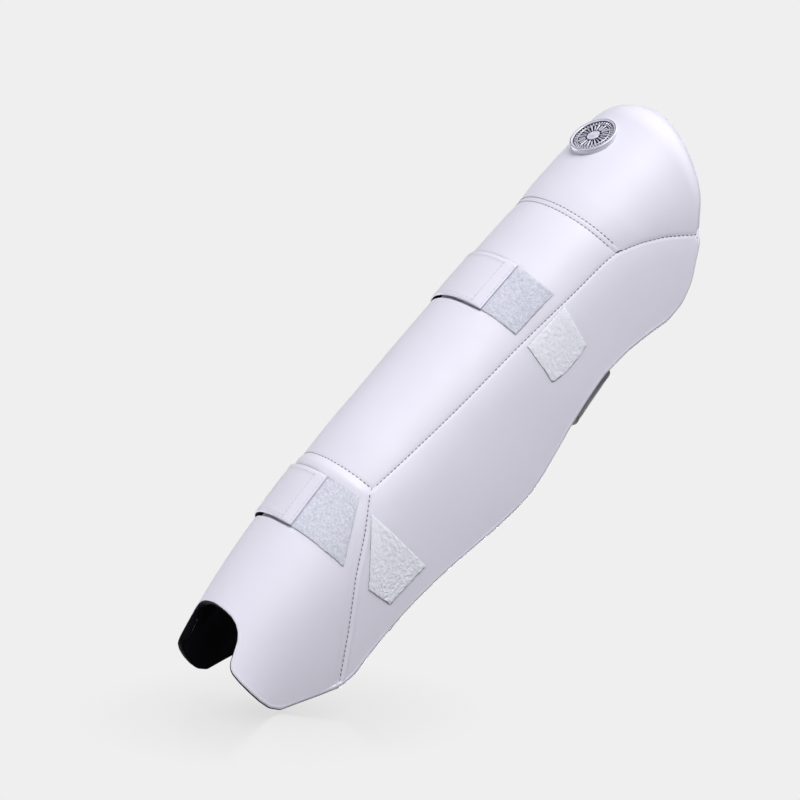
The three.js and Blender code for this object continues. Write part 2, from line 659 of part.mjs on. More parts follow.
// along the inner wing, then straight on to the rear fold; returns the fold's height
function sideSegment(name, strap) {
  const { frontFold, rear, rearFold, slope } = strap;
  const sections = steps(frontFold - FOLD_GAP, rear, 10).map(arc => {
    const z = middleZ(strap, arc);
    const height = standOff(strap, arc);
    return [[-1, -1], [1, -1], [1, 1], [-1, 1]].map(([side, up]) =>
      shellPoint(arc, z + up * HALF_WIDTH, height + side * HALF_THICK));
  });
  const endZ = middleZ(strap, rear);
  const { x, y } = shellPoint(rear, endZ, standOff(strap, rear));
  const length = distance([x, y], rearFold);
  for (const share of [0.55, 1 - 2.1 / length]) {
    const centre = [
      mix(x, rearFold[0], share), mix(y, rearFold[1], share), endZ - share * length * slope,
    ];
    sections.push(strapSection(centre, [x, y], rearFold));
  }
  add(`${name}_side_strap`, sweep(sections), 'strap');
  return endZ - length * slope;
}

// centre line behind the leg as (x, y, z, run), from the rear fold to the anchor fold
function calfPath({ rearFold, calf, anchorFold, calfSlope }, startZ) {
  let run = 0;
  return smoothCurve([rearFold, ...calf, anchorFold], 3).map(([x, y], i, curve) => {
    if (i) run += distance(curve[i - 1], curve[i]);
    return [x, y, startZ - run * calfSlope, run];
  });
}

// point of the path where the given column reaches a value
function pathPoint(path, column, value) {
  let i = 1;
  while (path[i][column] < value) i++;
  const before = path[i - 1];
  const share = (value - before[column]) / (path[i][column] - before[column]);
  return path[i].map((after, k) => mix(before[k], after, share));
}

function calfSegment(name, path) {
  const RUN = 3;
  const total = path.at(-1)[RUN];
  strapLine: {
    const middle = path.filter(point => point[RUN] > 3 && point[RUN] < total - 2.5);
    const line = [pathPoint(path, RUN, FOLD_GAP), ...middle, pathPoint(path, RUN, total - 1)];
    add(`${name}_calf_strap`, strapAlong(line), 'webbing');
  }
}

// flat face towards the leg, back face on the strap
function calfCushion(name, { cushionX, cushionY }, path) {
  const HALF_HEIGHT = 29;
  const centreZ = pathPoint(path, 0, 0)[2];
  const grid = rectangle(8, 2, cushionX, [-HALF_HEIGHT, HALF_HEIGHT]);
  const flat = (x, z) => vec(x, cushionY, centreZ + z);
  const back = (x, z) =>
    vec(x * 0.98, pathPoint(path, 0, x)[1] - HALF_THICK * 1.1 - 0.75, centreZ + z);
  add(`${name}_calf_cushion`, slab(...grid, flat, back), 'cushion');
}

// tab on the inside of the outer wing, running back to the anchor fold
function anchorTab(name, { anchorFold }, z) {
  const { x, y } = shellPoint(128, z, -LINING.inner - 2.3);
  const [endX, endY] = [anchorFold[0], anchorFold[1] - 1];
  const line = [[x - 0.3, y, z], [mix(x, endX, 0.55), mix(y, endY, 0.5), z], [endX, endY, z]];
  add(`${name}_strap_anchor`, strapAlong(line), 'webbing');
}

for (const [name, strap] of Object.entries(STRAPS)) {
  frontSegment(name, strap);
  const path = calfPath(strap, sideSegment(name, strap));
  calfSegment(name, path);
  calfCushion(name, strap, path);
  anchorTab(name, strap, path.at(-1)[2]);
}

export default group;
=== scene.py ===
"""Looks of a cricket leg pad: padded covers with sewn seams, bindings, lining, cushions, straps,
tape patches and a badge.

Lengths are millimetres in the frame of the CAD part and become metres in make(). z runs up the
leg, the pad faces -y with the leg behind it, and the outer wing is at +x, the inner at -x.
A place on the pad is (arc, z): arc is the length round the outer surface from x = 0. Heights
are measured along the surface's outward normal.
"""

import math
from types import SimpleNamespace as Record

import bmesh
import bpy
import numpy as np
from mathutils import Matrix, Vector


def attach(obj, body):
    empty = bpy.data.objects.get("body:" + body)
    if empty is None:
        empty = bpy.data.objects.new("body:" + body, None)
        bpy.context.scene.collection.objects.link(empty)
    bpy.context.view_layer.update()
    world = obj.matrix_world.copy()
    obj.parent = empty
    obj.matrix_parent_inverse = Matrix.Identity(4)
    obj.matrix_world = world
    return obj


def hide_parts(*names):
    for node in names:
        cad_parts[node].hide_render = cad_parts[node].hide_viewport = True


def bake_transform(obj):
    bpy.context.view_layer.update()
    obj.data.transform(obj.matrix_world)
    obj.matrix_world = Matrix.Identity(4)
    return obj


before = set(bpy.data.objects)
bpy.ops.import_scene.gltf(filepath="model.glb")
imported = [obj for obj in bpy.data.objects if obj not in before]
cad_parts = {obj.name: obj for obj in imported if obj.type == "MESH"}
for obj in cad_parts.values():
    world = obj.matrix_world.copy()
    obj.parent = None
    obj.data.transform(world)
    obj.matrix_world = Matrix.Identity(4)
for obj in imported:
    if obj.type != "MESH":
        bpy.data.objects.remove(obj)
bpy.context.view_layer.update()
MM = 0.001
RNG = np.random.default_rng(7)
SIDES = (("outer", 1), ("inner", -1))  # wing and the sign of its x

# ---------------------------------------------------------------- outer surface
RINGS = np.array([  # z, radius of the front arc, y of the front line
    (0, 56.25, -57.61), (59, 60.68, -68.56), (109, 63.64, -74.8), (169, 66.21, -79.02),
    (219, 67.88, -80.52), (279, 69.41, -80.52), (349, 70.99, -80.52), (419, 72.66, -79.94),
    (499, 74.69, -78.4), (569, 76.67, -76.06), (639, 78.84, -72.54)])
FRONT_RADIUS, FRONT_Y = RINGS[:, :2], RINGS[:, ::2]
FRONT_TURN = math.radians(52)  # turn of the circular front on each side of x = 0
EASE = 55.0  # arc over which the curvature falls from the front's to the sides'
SIDE_CURVE = 1 / 500
TOP_REACH = 135  # arc beyond which the top edge stays level
TOP = [  # arc, z of the top
    (-30, 618), (0, 621), (30, 618), (60, 610), (90, 597.5), (115, 581), (TOP_REACH, 557)]
ROLL = math.radians(78)  # turn of the rolled-in top
REAR = [  # z, arc of the wings' rear edge
    (38, 129), (55, 142), (70, 147), (95, 148), (124, 150), (149, 153), (181, 158), (211, 164),
    (240, 170), (267, 173.5), (285, 174.5), (304, 172), (330, 167), (350, 162.5), (379, 158),
    (402, 155.5), (432, 157.5), (459, 163), (477, 168), (498, 167.5), (517, 161), (540, 146),
    (550, 140), (557, 135)]
BOTTOM = [  # arc, z of the bottom edge
    (0, 40), (15, 39), (25, 37.5), (31, 35), (36, 31), (39.5, 25.5), (42, 16), (44, 8), (47, 4),
    (51, 2), (60, 0.6), (72, 0), (84, 0.3), (94, 1.8), (104, 7), (116, 22), (129, 38), (142, 55)]
SEAM_WING = [  # z, arc of the wing seam above the ankle
    (189, 60), (222, 65), (285, 72), (372, 79), (435, 85), (469, 87.5), (484, 90), (490, 92.5),
    (506, 100), (527, 114), (550, 135)]
SEAM_LOW = [(56, 139), (94, 117), (129, 94), (160, 78), (189, 60)]  # z, arc below the ankle
ANKLE_Z, KNEE_Z = 191.5, 484.0  # cross seams
SEAM_GAP = 0.02
EDGE_SHARE = 0.42  # thickness left at the open edges, as a share of the full one
FOAM_DEPTH, LINING_DEPTH = 13.0, 14.8


def hermite(table, x):
    """cubic through the table's (x, value) knots, straight beyond the ends"""
    knots, values = np.asarray(table, float).T
    x = np.asarray(x, float)
    slope = np.empty_like(values)
    slope[1:-1] = (values[2:] - values[:-2]) / (knots[2:] - knots[:-2])
    slope[0] = (values[1] - values[0]) / (knots[1] - knots[0])
    slope[-1] = (values[-1] - values[-2]) / (knots[-1] - knots[-2])
    i = np.clip(np.searchsorted(knots, x) - 1, 0, len(knots) - 2)
    step = knots[i + 1] - knots[i]
    t = np.clip((x - knots[i]) / step, 0, 1)
    inside = ((2 * t**3 - 3 * t**2 + 1) * values[i] + (t**3 - 2 * t**2 + t) * step * slope[i]
              + (-2 * t**3 + 3 * t**2) * values[i + 1] + (t**3 - t**2) * step * slope[i + 1])
    return (inside + np.where(x < knots[0], slope[0] * (x - knots[0]), 0)
            + np.where(x > knots[-1], slope[-1] * (x - knots[-1]), 0))


def linear(table, x):
    knots, values = np.asarray(table, float).T
    return np.interp(x, knots, values)


def smooth(t):
    t = np.clip(t, 0, 1)
    return t * t * (3 - 2 * t)


def bell(x, width):
    return np.exp(-((x / width) ** 2))


def unit(v):
    return v / np.linalg.norm(v, axis=-1, keepdims=True)


def top_reach(arc):
    return np.minimum(np.abs(arc), TOP_REACH)


def roll_radius(arc):
    return 31 - 17 * (top_reach(arc) / TOP_REACH) ** 1.5


def roll_start(arc):
    return hermite(TOP, top_reach(arc)) - roll_radius(arc) * math.sin(ROLL)


def end_z(arc):
    """z at the end of the rolled top, counted along the roll"""
    return roll_start(arc) + roll_radius(arc) * ROLL


def heading(arc, z):
    """angle turned at arc, counted from the +x direction"""
    radius = hermite(FRONT_RADIUS, z)
    curve, front = 1 / radius, radius * FRONT_TURN
    eased = np.clip(arc - front, 0, EASE)
    return (np.minimum(arc, front) * curve + curve * eased
            + (SIDE_CURVE - curve) * eased * eased / (2 * EASE)
            + np.clip(arc - front - EASE, 0, None) * SIDE_CURVE)


def unrolled(arc, z, steps=24):
    """surface without the rolled top: Simpson's rule along the arc"""
    length = np.abs(arc)
    x, y = np.zeros(length.shape), np.zeros(length.shape)
    for i in range(steps + 1):
        weight = (1 if i in (0, steps) else 4 if i % 2 else 2) * length / steps / 3
        angle = heading(length * i / steps, z)
        x += weight * np.cos(angle)
        y += weight * np.sin(angle)
    return np.stack([np.sign(arc) * x, y + hermite(FRONT_Y, z), z + 0 * length], -1)


def surface(arc, z):
    arc, z = np.broadcast_arrays(np.asarray(arc, float), np.asarray(z, float))
    start, radius = roll_start(arc), roll_radius(arc)
    below = np.minimum(z, start)
    points = unrolled(arc, below)
    angle = np.clip(z - start, 0, None) / radius
    side = heading(np.abs(arc), below)
    inward = radius * (1 - np.cos(angle))
    points[..., 0] += -np.sign(arc) * np.sin(side) * inward
    points[..., 1] += np.cos(side) * inward
    points[..., 2] += radius * np.sin(angle)
    return points


def normal(arc, z):
    return unit(np.cross(surface(arc + 0.5, z) - surface(arc - 0.5, z),
                         surface(arc, z + 0.5) - surface(arc, z - 0.5)))


def point(arc, z, height):
    """the point at a height over the outer surface"""
    arc, z, height = np.broadcast_arrays(*(np.asarray(v, float) for v in (arc, z, height)))
    return surface(arc, z) + normal(arc, z) * height[..., None]


# ---------------------------------------------------------------- padding over the surface
def share(arc, z):
    """share of the full thickness: less near the open edges"""
    side = np.abs(arc)
    inset = np.minimum(end_z(arc) - z, linear(REAR, np.minimum(z, 556)) - side)
    inset = np.minimum(inset, z - linear(BOTTOM, side))
    return EDGE_SHARE + (1 - EDGE_SHARE) * smooth(inset / 42)


def seam_wing(z):
    return np.where(np.asarray(z) > 480, linear(SEAM_WING, z), hermite(SEAM_WING, z))


def seam_low(z):
    return linear(SEAM_LOW, z)


WING_LINE = np.concatenate([  # the whole wing seam from the bottom, as (arc, z)
    np.stack([seam(z), z], -1)
    for seam, z in ((seam_low, np.linspace(56, 188, 23)), (seam_wing, np.linspace(189, 550, 60)))])


def line_distance(arc, z, line):
    """distance in (arc, z) from a line, and the length along it at its nearest point"""
    arc, z = np.broadcast_arrays(np.asarray(arc, float), np.asarray(z, float))
    best, best_run, run = np.full(arc.shape, 1e9), np.zeros(arc.shape), 0.0
    for (arc0, z0), (arc1, z1) in zip(line[:-1], line[1:]):
        along_arc, along_z = arc1 - arc0, z1 - z0
        length = math.hypot(along_arc, along_z)
        t = ((arc - arc0) * along_arc + (z - z0) * along_z) / (length * length)
        t = np.clip(t, 0, 1)
        distance = np.hypot(arc - arc0 - t * along_arc, z - z0 - t * along_z)
        near = distance < best
        best, best_run = np.where(near, distance, best), np.where(near, run + t * length, best_run)
        run += length
    return best, best_run


# A strap runs from its tip on the front over the inner wing (fold, rear), round the calf from
# inner to outer, and on to the inside of the outer wing.
# z: height of its middle; slope: its fall per length beyond the fold; tip, fold, rear: arcs;
# inner, outer, calf: (x, y) round the leg; pad_x, pad_y: ends and front face of its cushion;
# lean: outward lean of its lower edge; calf_slope: its fall per length behind the wing.
STRAPS = {
    "upper": Record(
        z=396, slope=0.061, tip=33, fold=-62, rear=-157, inner=(-88.6, 46), outer=(67.2, 41),
        pad_x=(-50, 26), pad_y=65, lean=0.10, calf_slope=0.0,
        calf=[(-87.6, 54), (-83, 65.5), (-70, 76), (-48, 82), (-22, 84), (4, 80), (30, 70.9),
              (52, 61.5), (63.2, 51.6), (67.2, 44.6)]),
    "lower": Record(
        z=152, slope=0.02, tip=24, fold=-56, rear=-151, inner=(-81.4, 45), outer=(60.6, 36),
        pad_x=(-36, 36), pad_y=54, lean=0.0, calf_slope=0.02,
        calf=[(-80.4, 51.5), (-74, 58), (-60, 62.5), (-38, 65.5), (0, 67.5), (28, 64), (46, 56),
              (56.5, 47), (60.3, 40)]),
}
STRAP_HALF, STRAP_THICK = 25.5, 2.3


def strap_z(strap, arc):
    return strap.z - np.clip(strap.fold - arc, 0, None) * strap.slope


def strap_height(strap, arc):
    """height of the strap's middle layer: it lies lower on the padding than on the wing"""
    return hermite([
        (strap.rear, 2.4), (-105, 2.0), (strap.fold, 2.0), (strap.fold + 16, 1.4),
        (strap.fold + 36, 0.8), (strap.tip - 40, 0.6), (strap.tip - 12, 0.75), (strap.tip, 0.7),
    ], arc)


def press(arc, z):
    """how far the padding is pushed in under the straps"""
    depth = 0
    for strap in STRAPS.values():
        across = (z - strap_z(strap, arc)) / STRAP_HALF
        # an even dent under the whole strap, and a deeper one under its lower part
        flat = smooth(np.interp(across, [-1.13, -1.0, -0.2, 0.9, 0.98, 1.09],
                                [0, 1, 1, 1, 0.8, 0]))
        low = smooth(np.interp(across, [-1.12, -1.0, -0.85, -0.2], [0, 1, 0.9, 0]))
        flat = flat * (smooth((arc - strap.rear - 8) / 20) * (1 - smooth((arc - strap.tip + 3) / 14))
                       * (1 - 0.5 * smooth((arc - strap.tip + 30) / 30)))
        low = low * (smooth((arc - strap.fold + 14) / 18)
                     * (1 - smooth((arc - strap.tip + 16) / 20)))
        depth = depth + 1.55 * flat + 2.7 * low
    return depth


def fold_in(distance):
    """round fall of the cover into a seam, 1 at the seam and 0 from 1 mm on"""
    return 1 - np.sqrt(np.clip(1 - (1 - np.clip(distance, 0, 1)) ** 2, 0, 1))


def puckers(run):
    return 0.5 + 0.5 * np.cos(2 * np.pi * run / 3.6)


def cover_height(arc, z, panel):
    """height of the cover of a panel (shin, knee, instep or wing) over the surface"""
    side = np.abs(arc)
    seam, run = line_distance(side, z, WING_LINE)
    low = smooth((200 - z) / 22)  # the lower seams are turned in with a fuller ridge
    height = -0.55 * bell(seam, 10) - 0.12 * fold_in(seam)  # the seam pulls the padding in
    height = height - (0.26 + 0.12 * low + 0.10 * puckers(run)) * bell(seam, 1.7)
    height = height - (0.2 + 0.15 * low) * bell(seam, 3.6)
    if panel == "wing":
        height = height + (0.06 + 0.6 * low) * bell(seam - 2.6 - 0.8 * low, 1.5)
    else:
        height = height - 0.3 * low * bell(seam - 4.4, 2.2)
    for seam_z, panels, reach in ((ANKLE_Z, ("shin", "instep"), 62), (KNEE_Z, ("knee", "shin"), 92)):
        if panel not in panels:
            continue
        cross = np.abs(z - seam_z)
        inside = 1 - smooth((side - reach + 6) / 10)
        height = height - 0.45 * inside * bell(cross, 8)
        height = height - 0.12 * fold_in(cross) - 0.30 * bell(cross, 1.7)
        if panel == "knee":  # second row of sewing, with a small ridge before it
            height = height - inside * (0.16 + 0.10 * puckers(arc)) * bell(cross - 4.8, 1.4)
            height = height + 0.05 * inside * bell(cross - 2.4, 1.2)
    if panel == "instep":  # soft roll between the ankle seam and the lower strap
        height = height + 1.1 * bell(z - 184.5, 4.6) * (1 - smooth((side - 50) / 20))
    if panel == "knee":
        height = height + (0.9 * smooth((z - 488) / 22) * smooth((600 - z) / 60)
                           * (1 - smooth((side - 86) / 40)))
    if panel == "shin":
        height = height + (0.5 * smooth((z - 196) / 30) * smooth((480 - z) / 30)
                           * smooth((seam - 6) / 30))
    # slow unevenness of hand-stuffed padding
    height = (height + 0.16 * np.sin(z / 17.3 + 0.6 * np.sin(arc / 23.0)) * np.sin(arc / 19.1 + 1.3)
              + 0.10 * np.sin(z / 7.9 + arc / 11.3) * smooth((30 - seam) / 30))
    return height - press(arc, z)


# ---------------------------------------------------------------- meshes
def make(name, verts, faces, uv=None, mats=(), mat_index=None, sharp=50, recalc=True):
    """mesh object from points in mm; faces is a list of index arrays, one row per face"""
    verts = np.asarray(verts, float).reshape(-1, 3) * MM
    mesh = bpy.data.meshes.new(name)
    loops = np.concatenate([part.reshape(-1) for part in faces]).astype(np.int32)
    size = np.concatenate([np.full(len(part), part.shape[1]) for part in faces])
    mesh.vertices.add(len(verts))
    mesh.vertices.foreach_set("co", verts.astype(np.float32).reshape(-1))
    mesh.loops.add(len(loops))
    mesh.loops.foreach_set("vertex_index", loops)
    mesh.polygons.add(len(size))
    start = np.concatenate([[0], np.cumsum(size)[:-1]]).astype(np.int32)
    mesh.polygons.foreach_set("loop_start", start)
    mesh.update(calc_edges=True)
    if uv is not None:
        layer = mesh.uv_layers.new(name="UV")
        corners = np.asarray(uv, np.float32).reshape(-1, 2)[loops]
        layer.data.foreach_set("uv", corners.reshape(-1))
    if mat_index is not None:
        mesh.polygons.foreach_set("material_index", np.asarray(mat_index, np.int32))
    mesh.validate()
    if recalc:
        work = bmesh.new()
        work.from_mesh(mesh)
        bmesh.ops.recalc_face_normals(work, faces=work.faces)
        work.to_mesh(mesh)
        work.free()
    mesh.polygons.foreach_set("use_smooth", np.ones(len(mesh.polygons), bool))
    if sharp:
        mesh.set_sharp_from_angle(angle=math.radians(sharp))
    piece = bpy.data.objects.new(name, mesh)
    bpy.context.scene.collection.objects.link(piece)
    for mat in mats:
        mesh.materials.append(mat)
    return piece


def place(piece, body, slot, *replaced):
    """the body a piece rides on and the CAD nodes it stands for, which it hides; slot is not used"""
    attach(piece, body)
    if replaced:
        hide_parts(*replaced)


def second_material(piece, flags):
    """gives the flagged faces the second material; faces past the flags keep the first"""
    index = np.zeros(len(piece.data.polygons), np.int32)
    index[:len(flags)] = flags
    piece.data.polygons.foreach_set("material_index", index)


def closed_sheet(under, over):
    """points and faces of the closed body between two equal grids of points"""
    index = np.arange(under.shape[0] * under.shape[1]).reshape(under.shape[:2])
    sheet = np.stack([index[:-1, :-1], index[1:, :-1], index[1:, 1:], index[:-1, 1:]], -1)
    sheet = sheet.reshape(-1, 4)
    rim = np.concatenate([index[:-1, 0], index[-1, :-1], index[:0:-1, -1], index[0, :0:-1]])
    ahead = np.roll(rim, -1)
    count = index.size
    walls = np.stack([rim, ahead, ahead + count, rim + count], -1)
    verts = np.concatenate([under.reshape(-1, 3), over.reshape(-1, 3)])
    return verts, [sheet[:, ::-1], sheet + count, walls]


def slab(name, arc, z, low, high, **looks):
    """closed sheet over a grid in (arc, z); low and high are the heights of its faces"""
    verts, faces = closed_sheet(point(arc, z, low), point(arc, z, high))
    uv = np.stack([arc, z], -1).reshape(-1, 2) / 100
    return make(name, verts, faces, uv=np.concatenate([uv, uv]), **looks)


def tube_faces(count, size, closed=False):
    """quads between count rings of size points"""
    i = np.arange(count if closed else count - 1)[:, None]
    j = np.arange(size)[None, :]
    ring, after, beside = i * size, (i + 1) % count * size, (j + 1) % size
    return np.stack([ring + j, ring + beside, after + beside, after + j], -1).reshape(-1, 4)


def copies_of(faces, copies, size):
    """the faces of one body of size points, for that many bodies in a row"""
    return (faces[None] + (np.arange(copies) * size)[:, None, None]).reshape(-1, 4)


def sweep(name, rings, uv, closed=False, **looks):
    """skin over closed sections, rings[i, j] = point j of section i, with capped ends"""
    count, size = rings.shape[:2]
    faces = [tube_faces(count, size, closed)]
    verts = rings.reshape(-1, 3)
    if not closed:
        first = len(verts)
        verts = np.concatenate([verts, rings[0].mean(0)[None], rings[-1].mean(0)[None]])
        j = np.arange(size)
        beside, last = (j + 1) % size, (count - 1) * size
        faces.append(np.stack([np.full(size, first), beside, j], -1))
        faces.append(np.stack([np.full(size, first + 1), last + j, last + beside], -1))
    uv = np.asarray(uv, float).reshape(-1, 2)
    uv = np.concatenate([uv, np.zeros((len(verts) - len(uv), 2))])
    return make(name, verts, faces, uv=uv, **looks)


SEAM_STEPS = [0, 0.35, 0.8, 1.3, 1.9, 2.6, 3.4, 4.3, 5.4, 6.8, 8.6, 11.0]  # distances from a seam


def spread(low, high, middle):
    """positions from low to high, close together near both ends where there are seams"""
    scale = np.minimum(1.0, (high - low) / 30.0)
    start = [low + step * scale for step in SEAM_STEPS]
    end = [high - step * scale for step in SEAM_STEPS[::-1]]
    inner = [start[-1] + (end[0] - start[-1]) * t for t in np.linspace(0, 1, middle + 2)[1:-1]]
    return np.stack(start + inner + end, 0)


def run_along(points):
    """length along a line at each of its points"""
    steps = np.linalg.norm(np.diff(np.asarray(points, float), axis=0), axis=1)
    return np.concatenate([[0], np.cumsum(steps)])


def along(run, values, where):
    """rows of values, known at run, interpolated at where"""
    return np.stack([np.interp(where, run, column) for column in values.T], -1)


def offset_line(line, distance):
    """a line in (arc, z) moved to its left"""
    ahead = unit(np.diff(line, axis=0))
    left = np.stack([-ahead[:, 1], ahead[:, 0]], 1)
    mitre = np.concatenate([left[:1], left[:-1] + left[1:], left[-1:]])
    scale = 2 / np.maximum((mitre**2).sum(1), 0.6)
    scale[0] = scale[-1] = 1
    return line + mitre * (distance * np.minimum(scale, 1.4))[:, None]


def resample(line, step):
    run = run_along(line)
    count = max(2, int(round(run[-1] / step)) + 1)
    return along(run, np.asarray(line, float), np.linspace(0, run[-1], count))


def round_line(line, step, radius):
    """resampled line with its corners rounded over the radius"""
    line = resample(line, step)
    reach = max(1, int(radius / step))
    padded = np.concatenate([2 * line[0] - line[reach:0:-1], line,
                             2 * line[-1] - line[-2:-reach - 2:-1]])
    weight = np.hanning(2 * reach + 3)[1:-1]
    weight /= weight.sum()
    return np.stack([np.convolve(column, weight, "valid") for column in padded.T], 1)


# ---------------------------------------------------------------- sewing thread
STITCH_SHAPE = [  # place along half a stitch, share of the radius, rise in radii
    (-1.0, 0.15, -0.55), (-0.86, 0.75, -0.22), (-0.45, 1.0, 0.1),
    (0.45, 1.0, 0.1), (0.86, 0.75, -0.22), (1.0, 0.15, -0.55)]
STITCH_SIDES = 6
STITCH_CAP = np.array([[0, 5, 4, 3], [0, 3, 2, 1]])
STITCH_POINTS = len(STITCH_SHAPE) * STITCH_SIDES
STITCH_FACES = np.concatenate([
    tube_faces(len(STITCH_SHAPE), STITCH_SIDES), STITCH_CAP,
    STITCH_CAP[:, ::-1] + STITCH_POINTS - STITCH_SIDES])
pending = []  # (points, faces) of rows waiting for sew()


def stitch_row(points, normals, gap=1.5, pitch=4.0, radius=0.38, lift=0.2):
    """one short rounded stitch after another along a line of points"""
    run = run_along(points)
    count = int(run[-1] / pitch)
    middle = (np.arange(count) + 0.5) * run[-1] / count
    half = (run[-1] / count - gap) / 2
    out = unit(along(run, normals, middle))
    ahead = unit(along(run, points, middle + half) - along(run, points, middle - half))
    across = np.cross(out, ahead)
    angle = (np.arange(STITCH_SIDES) * 2 * np.pi / STITCH_SIDES)[None, :, None]
    circle = np.cos(angle) * across[:, None] + 0.8 * np.sin(angle) * out[:, None]
    rings = []
    for place_along, width, rise in STITCH_SHAPE:
        centre = along(run, points, middle + half * place_along) + out * (lift + rise * radius)
        rings.append(centre[:, None] + radius * width * circle)
    pending.append((np.stack(rings, 1).reshape(-1, 3),
                    copies_of(STITCH_FACES, count, STITCH_POINTS)))


def stitch_surface(line, height, **stitch):
    """stitches at a height over a line in (arc, z)"""
    arc, z = line.T
    stitch_row(point(arc, z, height), normal(arc, z), **stitch)


def stitch_cover(line, panel):
    stitch_surface(line, cover_height(line[:, 0], line[:, 1], panel))


def sew(name, mat, body, slot):
    """makes one piece of all pending stitches"""
    verts, faces, offset = [], [], 0
    for row_verts, row_faces in pending:
        verts.append(row_verts)
        faces.append(row_faces + offset)
        offset += len(row_verts)
    pending.clear()
    place(make(name, np.concatenate(verts), faces, mats=[mat], sharp=0), body, slot)


# ---------------------------------------------------------------- materials
class Graph:
    """short ways to add shader nodes to a tree"""

    def __init__(self, tree):
        self.tree = tree

    def node(self, kind, inputs=None, **props):
        node = self.tree.nodes.new(kind)
        for key, value in props.items():
            setattr(node, key, value)
        for key, value in (inputs or {}).items():
            self.put(node.inputs[key], value)
        return node

    def put(self, socket, value):
        """links a socket or sets a value; colours may be given as three numbers"""
        if isinstance(value, bpy.types.NodeSocket):
            self.tree.links.new(value, socket)
        elif socket.type == "RGBA" and len(value) == 3:
            socket.default_value = (*value, 1)
        else:
            socket.default_value = value

    def coord(self, scale=(1, 1, 1), kind="Object"):
        source = self.node("ShaderNodeTexCoord").outputs[kind]
        return self.node("ShaderNodeMapping", {"Vector": source, "Scale": scale}).outputs[0]

    def noise(self, scale, detail=4, rough=0.5, vector=None, distort=0.0):
        return self.node("ShaderNodeTexNoise", {
            "Scale": scale, "Detail": detail, "Roughness": rough, "Distortion": distort,
            "Vector": vector or self.coord()}).outputs["Fac"]

    def voronoi(self, scale, feature="F1", rand=1.0):
        return self.node("ShaderNodeTexVoronoi", {
            "Scale": scale, "Randomness": rand, "Vector": self.coord(),
        }, feature=feature).outputs["Distance"]

    def wave(self, scale, axis, vector, distort):
        return self.node("ShaderNodeTexWave", {
            "Scale": scale, "Distortion": distort, "Vector": vector,
        }, wave_type="BANDS", bands_direction=axis, wave_profile="SIN").outputs["Fac"]

    def ramp(self, value, *stops):
        """stops are (position, grey)"""
        node = self.node("ShaderNodeValToRGB", {"Fac": value})
        elements = node.color_ramp.elements
        while len(elements) < len(stops):
            elements.new(0.5)
        for element, (position, grey) in zip(elements, stops):
            element.position = position
            element.color = (grey, grey, grey, 1)
        return node.outputs["Color"]

    def remap(self, value, span=(0.3, 0.7), to=(0, 1)):
        return self.node("ShaderNodeMapRange", {
            "Value": value, "From Min": span[0], "From Max": span[1],
            "To Min": to[0], "To Max": to[1]}).outputs[0]

    def math(self, operation, first, second=0.0):
        return self.node("ShaderNodeMath", {0: first, 1: second}, operation=operation).outputs[0]

    def vector_math(self, operation, first, second):
        return self.node("ShaderNodeVectorMath", {0: first, 1: tuple(second)},
                         operation=operation).outputs["Value"]

    def mix(self, amount, below, above):
        return self.node("ShaderNodeMix", {0: amount, 6: below, 7: above},
                         data_type="RGBA", blend_type="MIX").outputs[2]

    def mix_shader(self, amount, below, above):
        return self.node("ShaderNodeMixShader", {0: amount, 1: below, 2: above}).outputs[0]


class Mat(Graph):
    """material built on the default Principled BSDF"""

    def __init__(self, name):
        self.material = bpy.data.materials.new(name)
        self.material.use_nodes = True
        super().__init__(self.material.node_tree)
        self.body = self.tree.nodes["Principled BSDF"]
        self.output = self.tree.nodes["Material Output"]
        self.relief = None

    def bump(self, height, strength, depth):
        """adds a bump of a depth in mm over those already there"""
        node = self.node("ShaderNodeBump", {
            "Strength": strength, "Distance": depth * MM, "Height": height})
        if self.relief:
            self.put(node.inputs["Normal"], self.relief)
        self.relief = node.outputs[0]
        self.put(self.body.inputs["Normal"], self.relief)

    def finish(self, **inputs):
        for key, value in inputs.items():
            self.put(self.body.inputs[key.replace("_", " ")], value)
        return self.material


def shade(color, factor):
    return tuple(np.multiply(color, factor))


def leather(name, color, rough, grain, wear):
    m = Mat(name)
    big, middle = m.noise(9, detail=3), m.noise(70, rough=0.6)
    cells = m.voronoi(1500, "DISTANCE_TO_EDGE")  # pebbled grain, about 0.7 mm
    fine = m.noise(3200, detail=3, rough=0.6)
    pit = m.ramp(cells, (0.0, 0), (0.22, 1))
    tone = m.mix(m.remap(big), shade(color, 0.965), color)
    tone = m.mix(m.remap(middle, span=(0.35, 0.75), to=(0, 0.35)), tone,
                 shade(color, (0.985, 0.985, 1.005)))
    # the grain's pits are coloured a little darker: painted shade
    pit_painted_shade = m.math("MULTIPLY", m.math("SUBTRACT", 1.0, pit), 0.06)
    tone = m.mix(pit_painted_shade, tone, (0.55, 0.55, 0.6))
    geometry = m.node("ShaderNodeNewGeometry")
    edge = m.math("MULTIPLY", m.remap(geometry.outputs["Pointiness"], span=(0.53, 0.62)),
                  m.remap(m.noise(160), span=(0.45, 0.7), to=(0, wear)))
    tone = m.mix(edge, tone, shade(color, 0.86))
    m.bump(pit, strength=0.22 * grain, depth=0.10)
    m.bump(fine, strength=0.12 * grain, depth=0.06)
    m.bump(middle, strength=0.10, depth=0.35)
    return m.finish(
        Base_Color=tone, Roughness=m.remap(m.noise(45), to=(rough - 0.05, rough + 0.07)),
        Specular_IOR_Level=0.34, Sheen_Weight=0.08, Sheen_Roughness=0.5, Coat_Weight=0.05,
        Coat_Roughness=0.36)


COVER = leather("coated_leather", (0.80, 0.79, 0.888), rough=0.46, grain=1.0, wear=0.5)
STRAP = leather("strap_leather", (0.79, 0.78, 0.875), rough=0.44, grain=0.8, wear=0.5)
BINDING = leather("binding_tape", (0.79, 0.78, 0.876), rough=0.42, grain=0.7, wear=0.8)


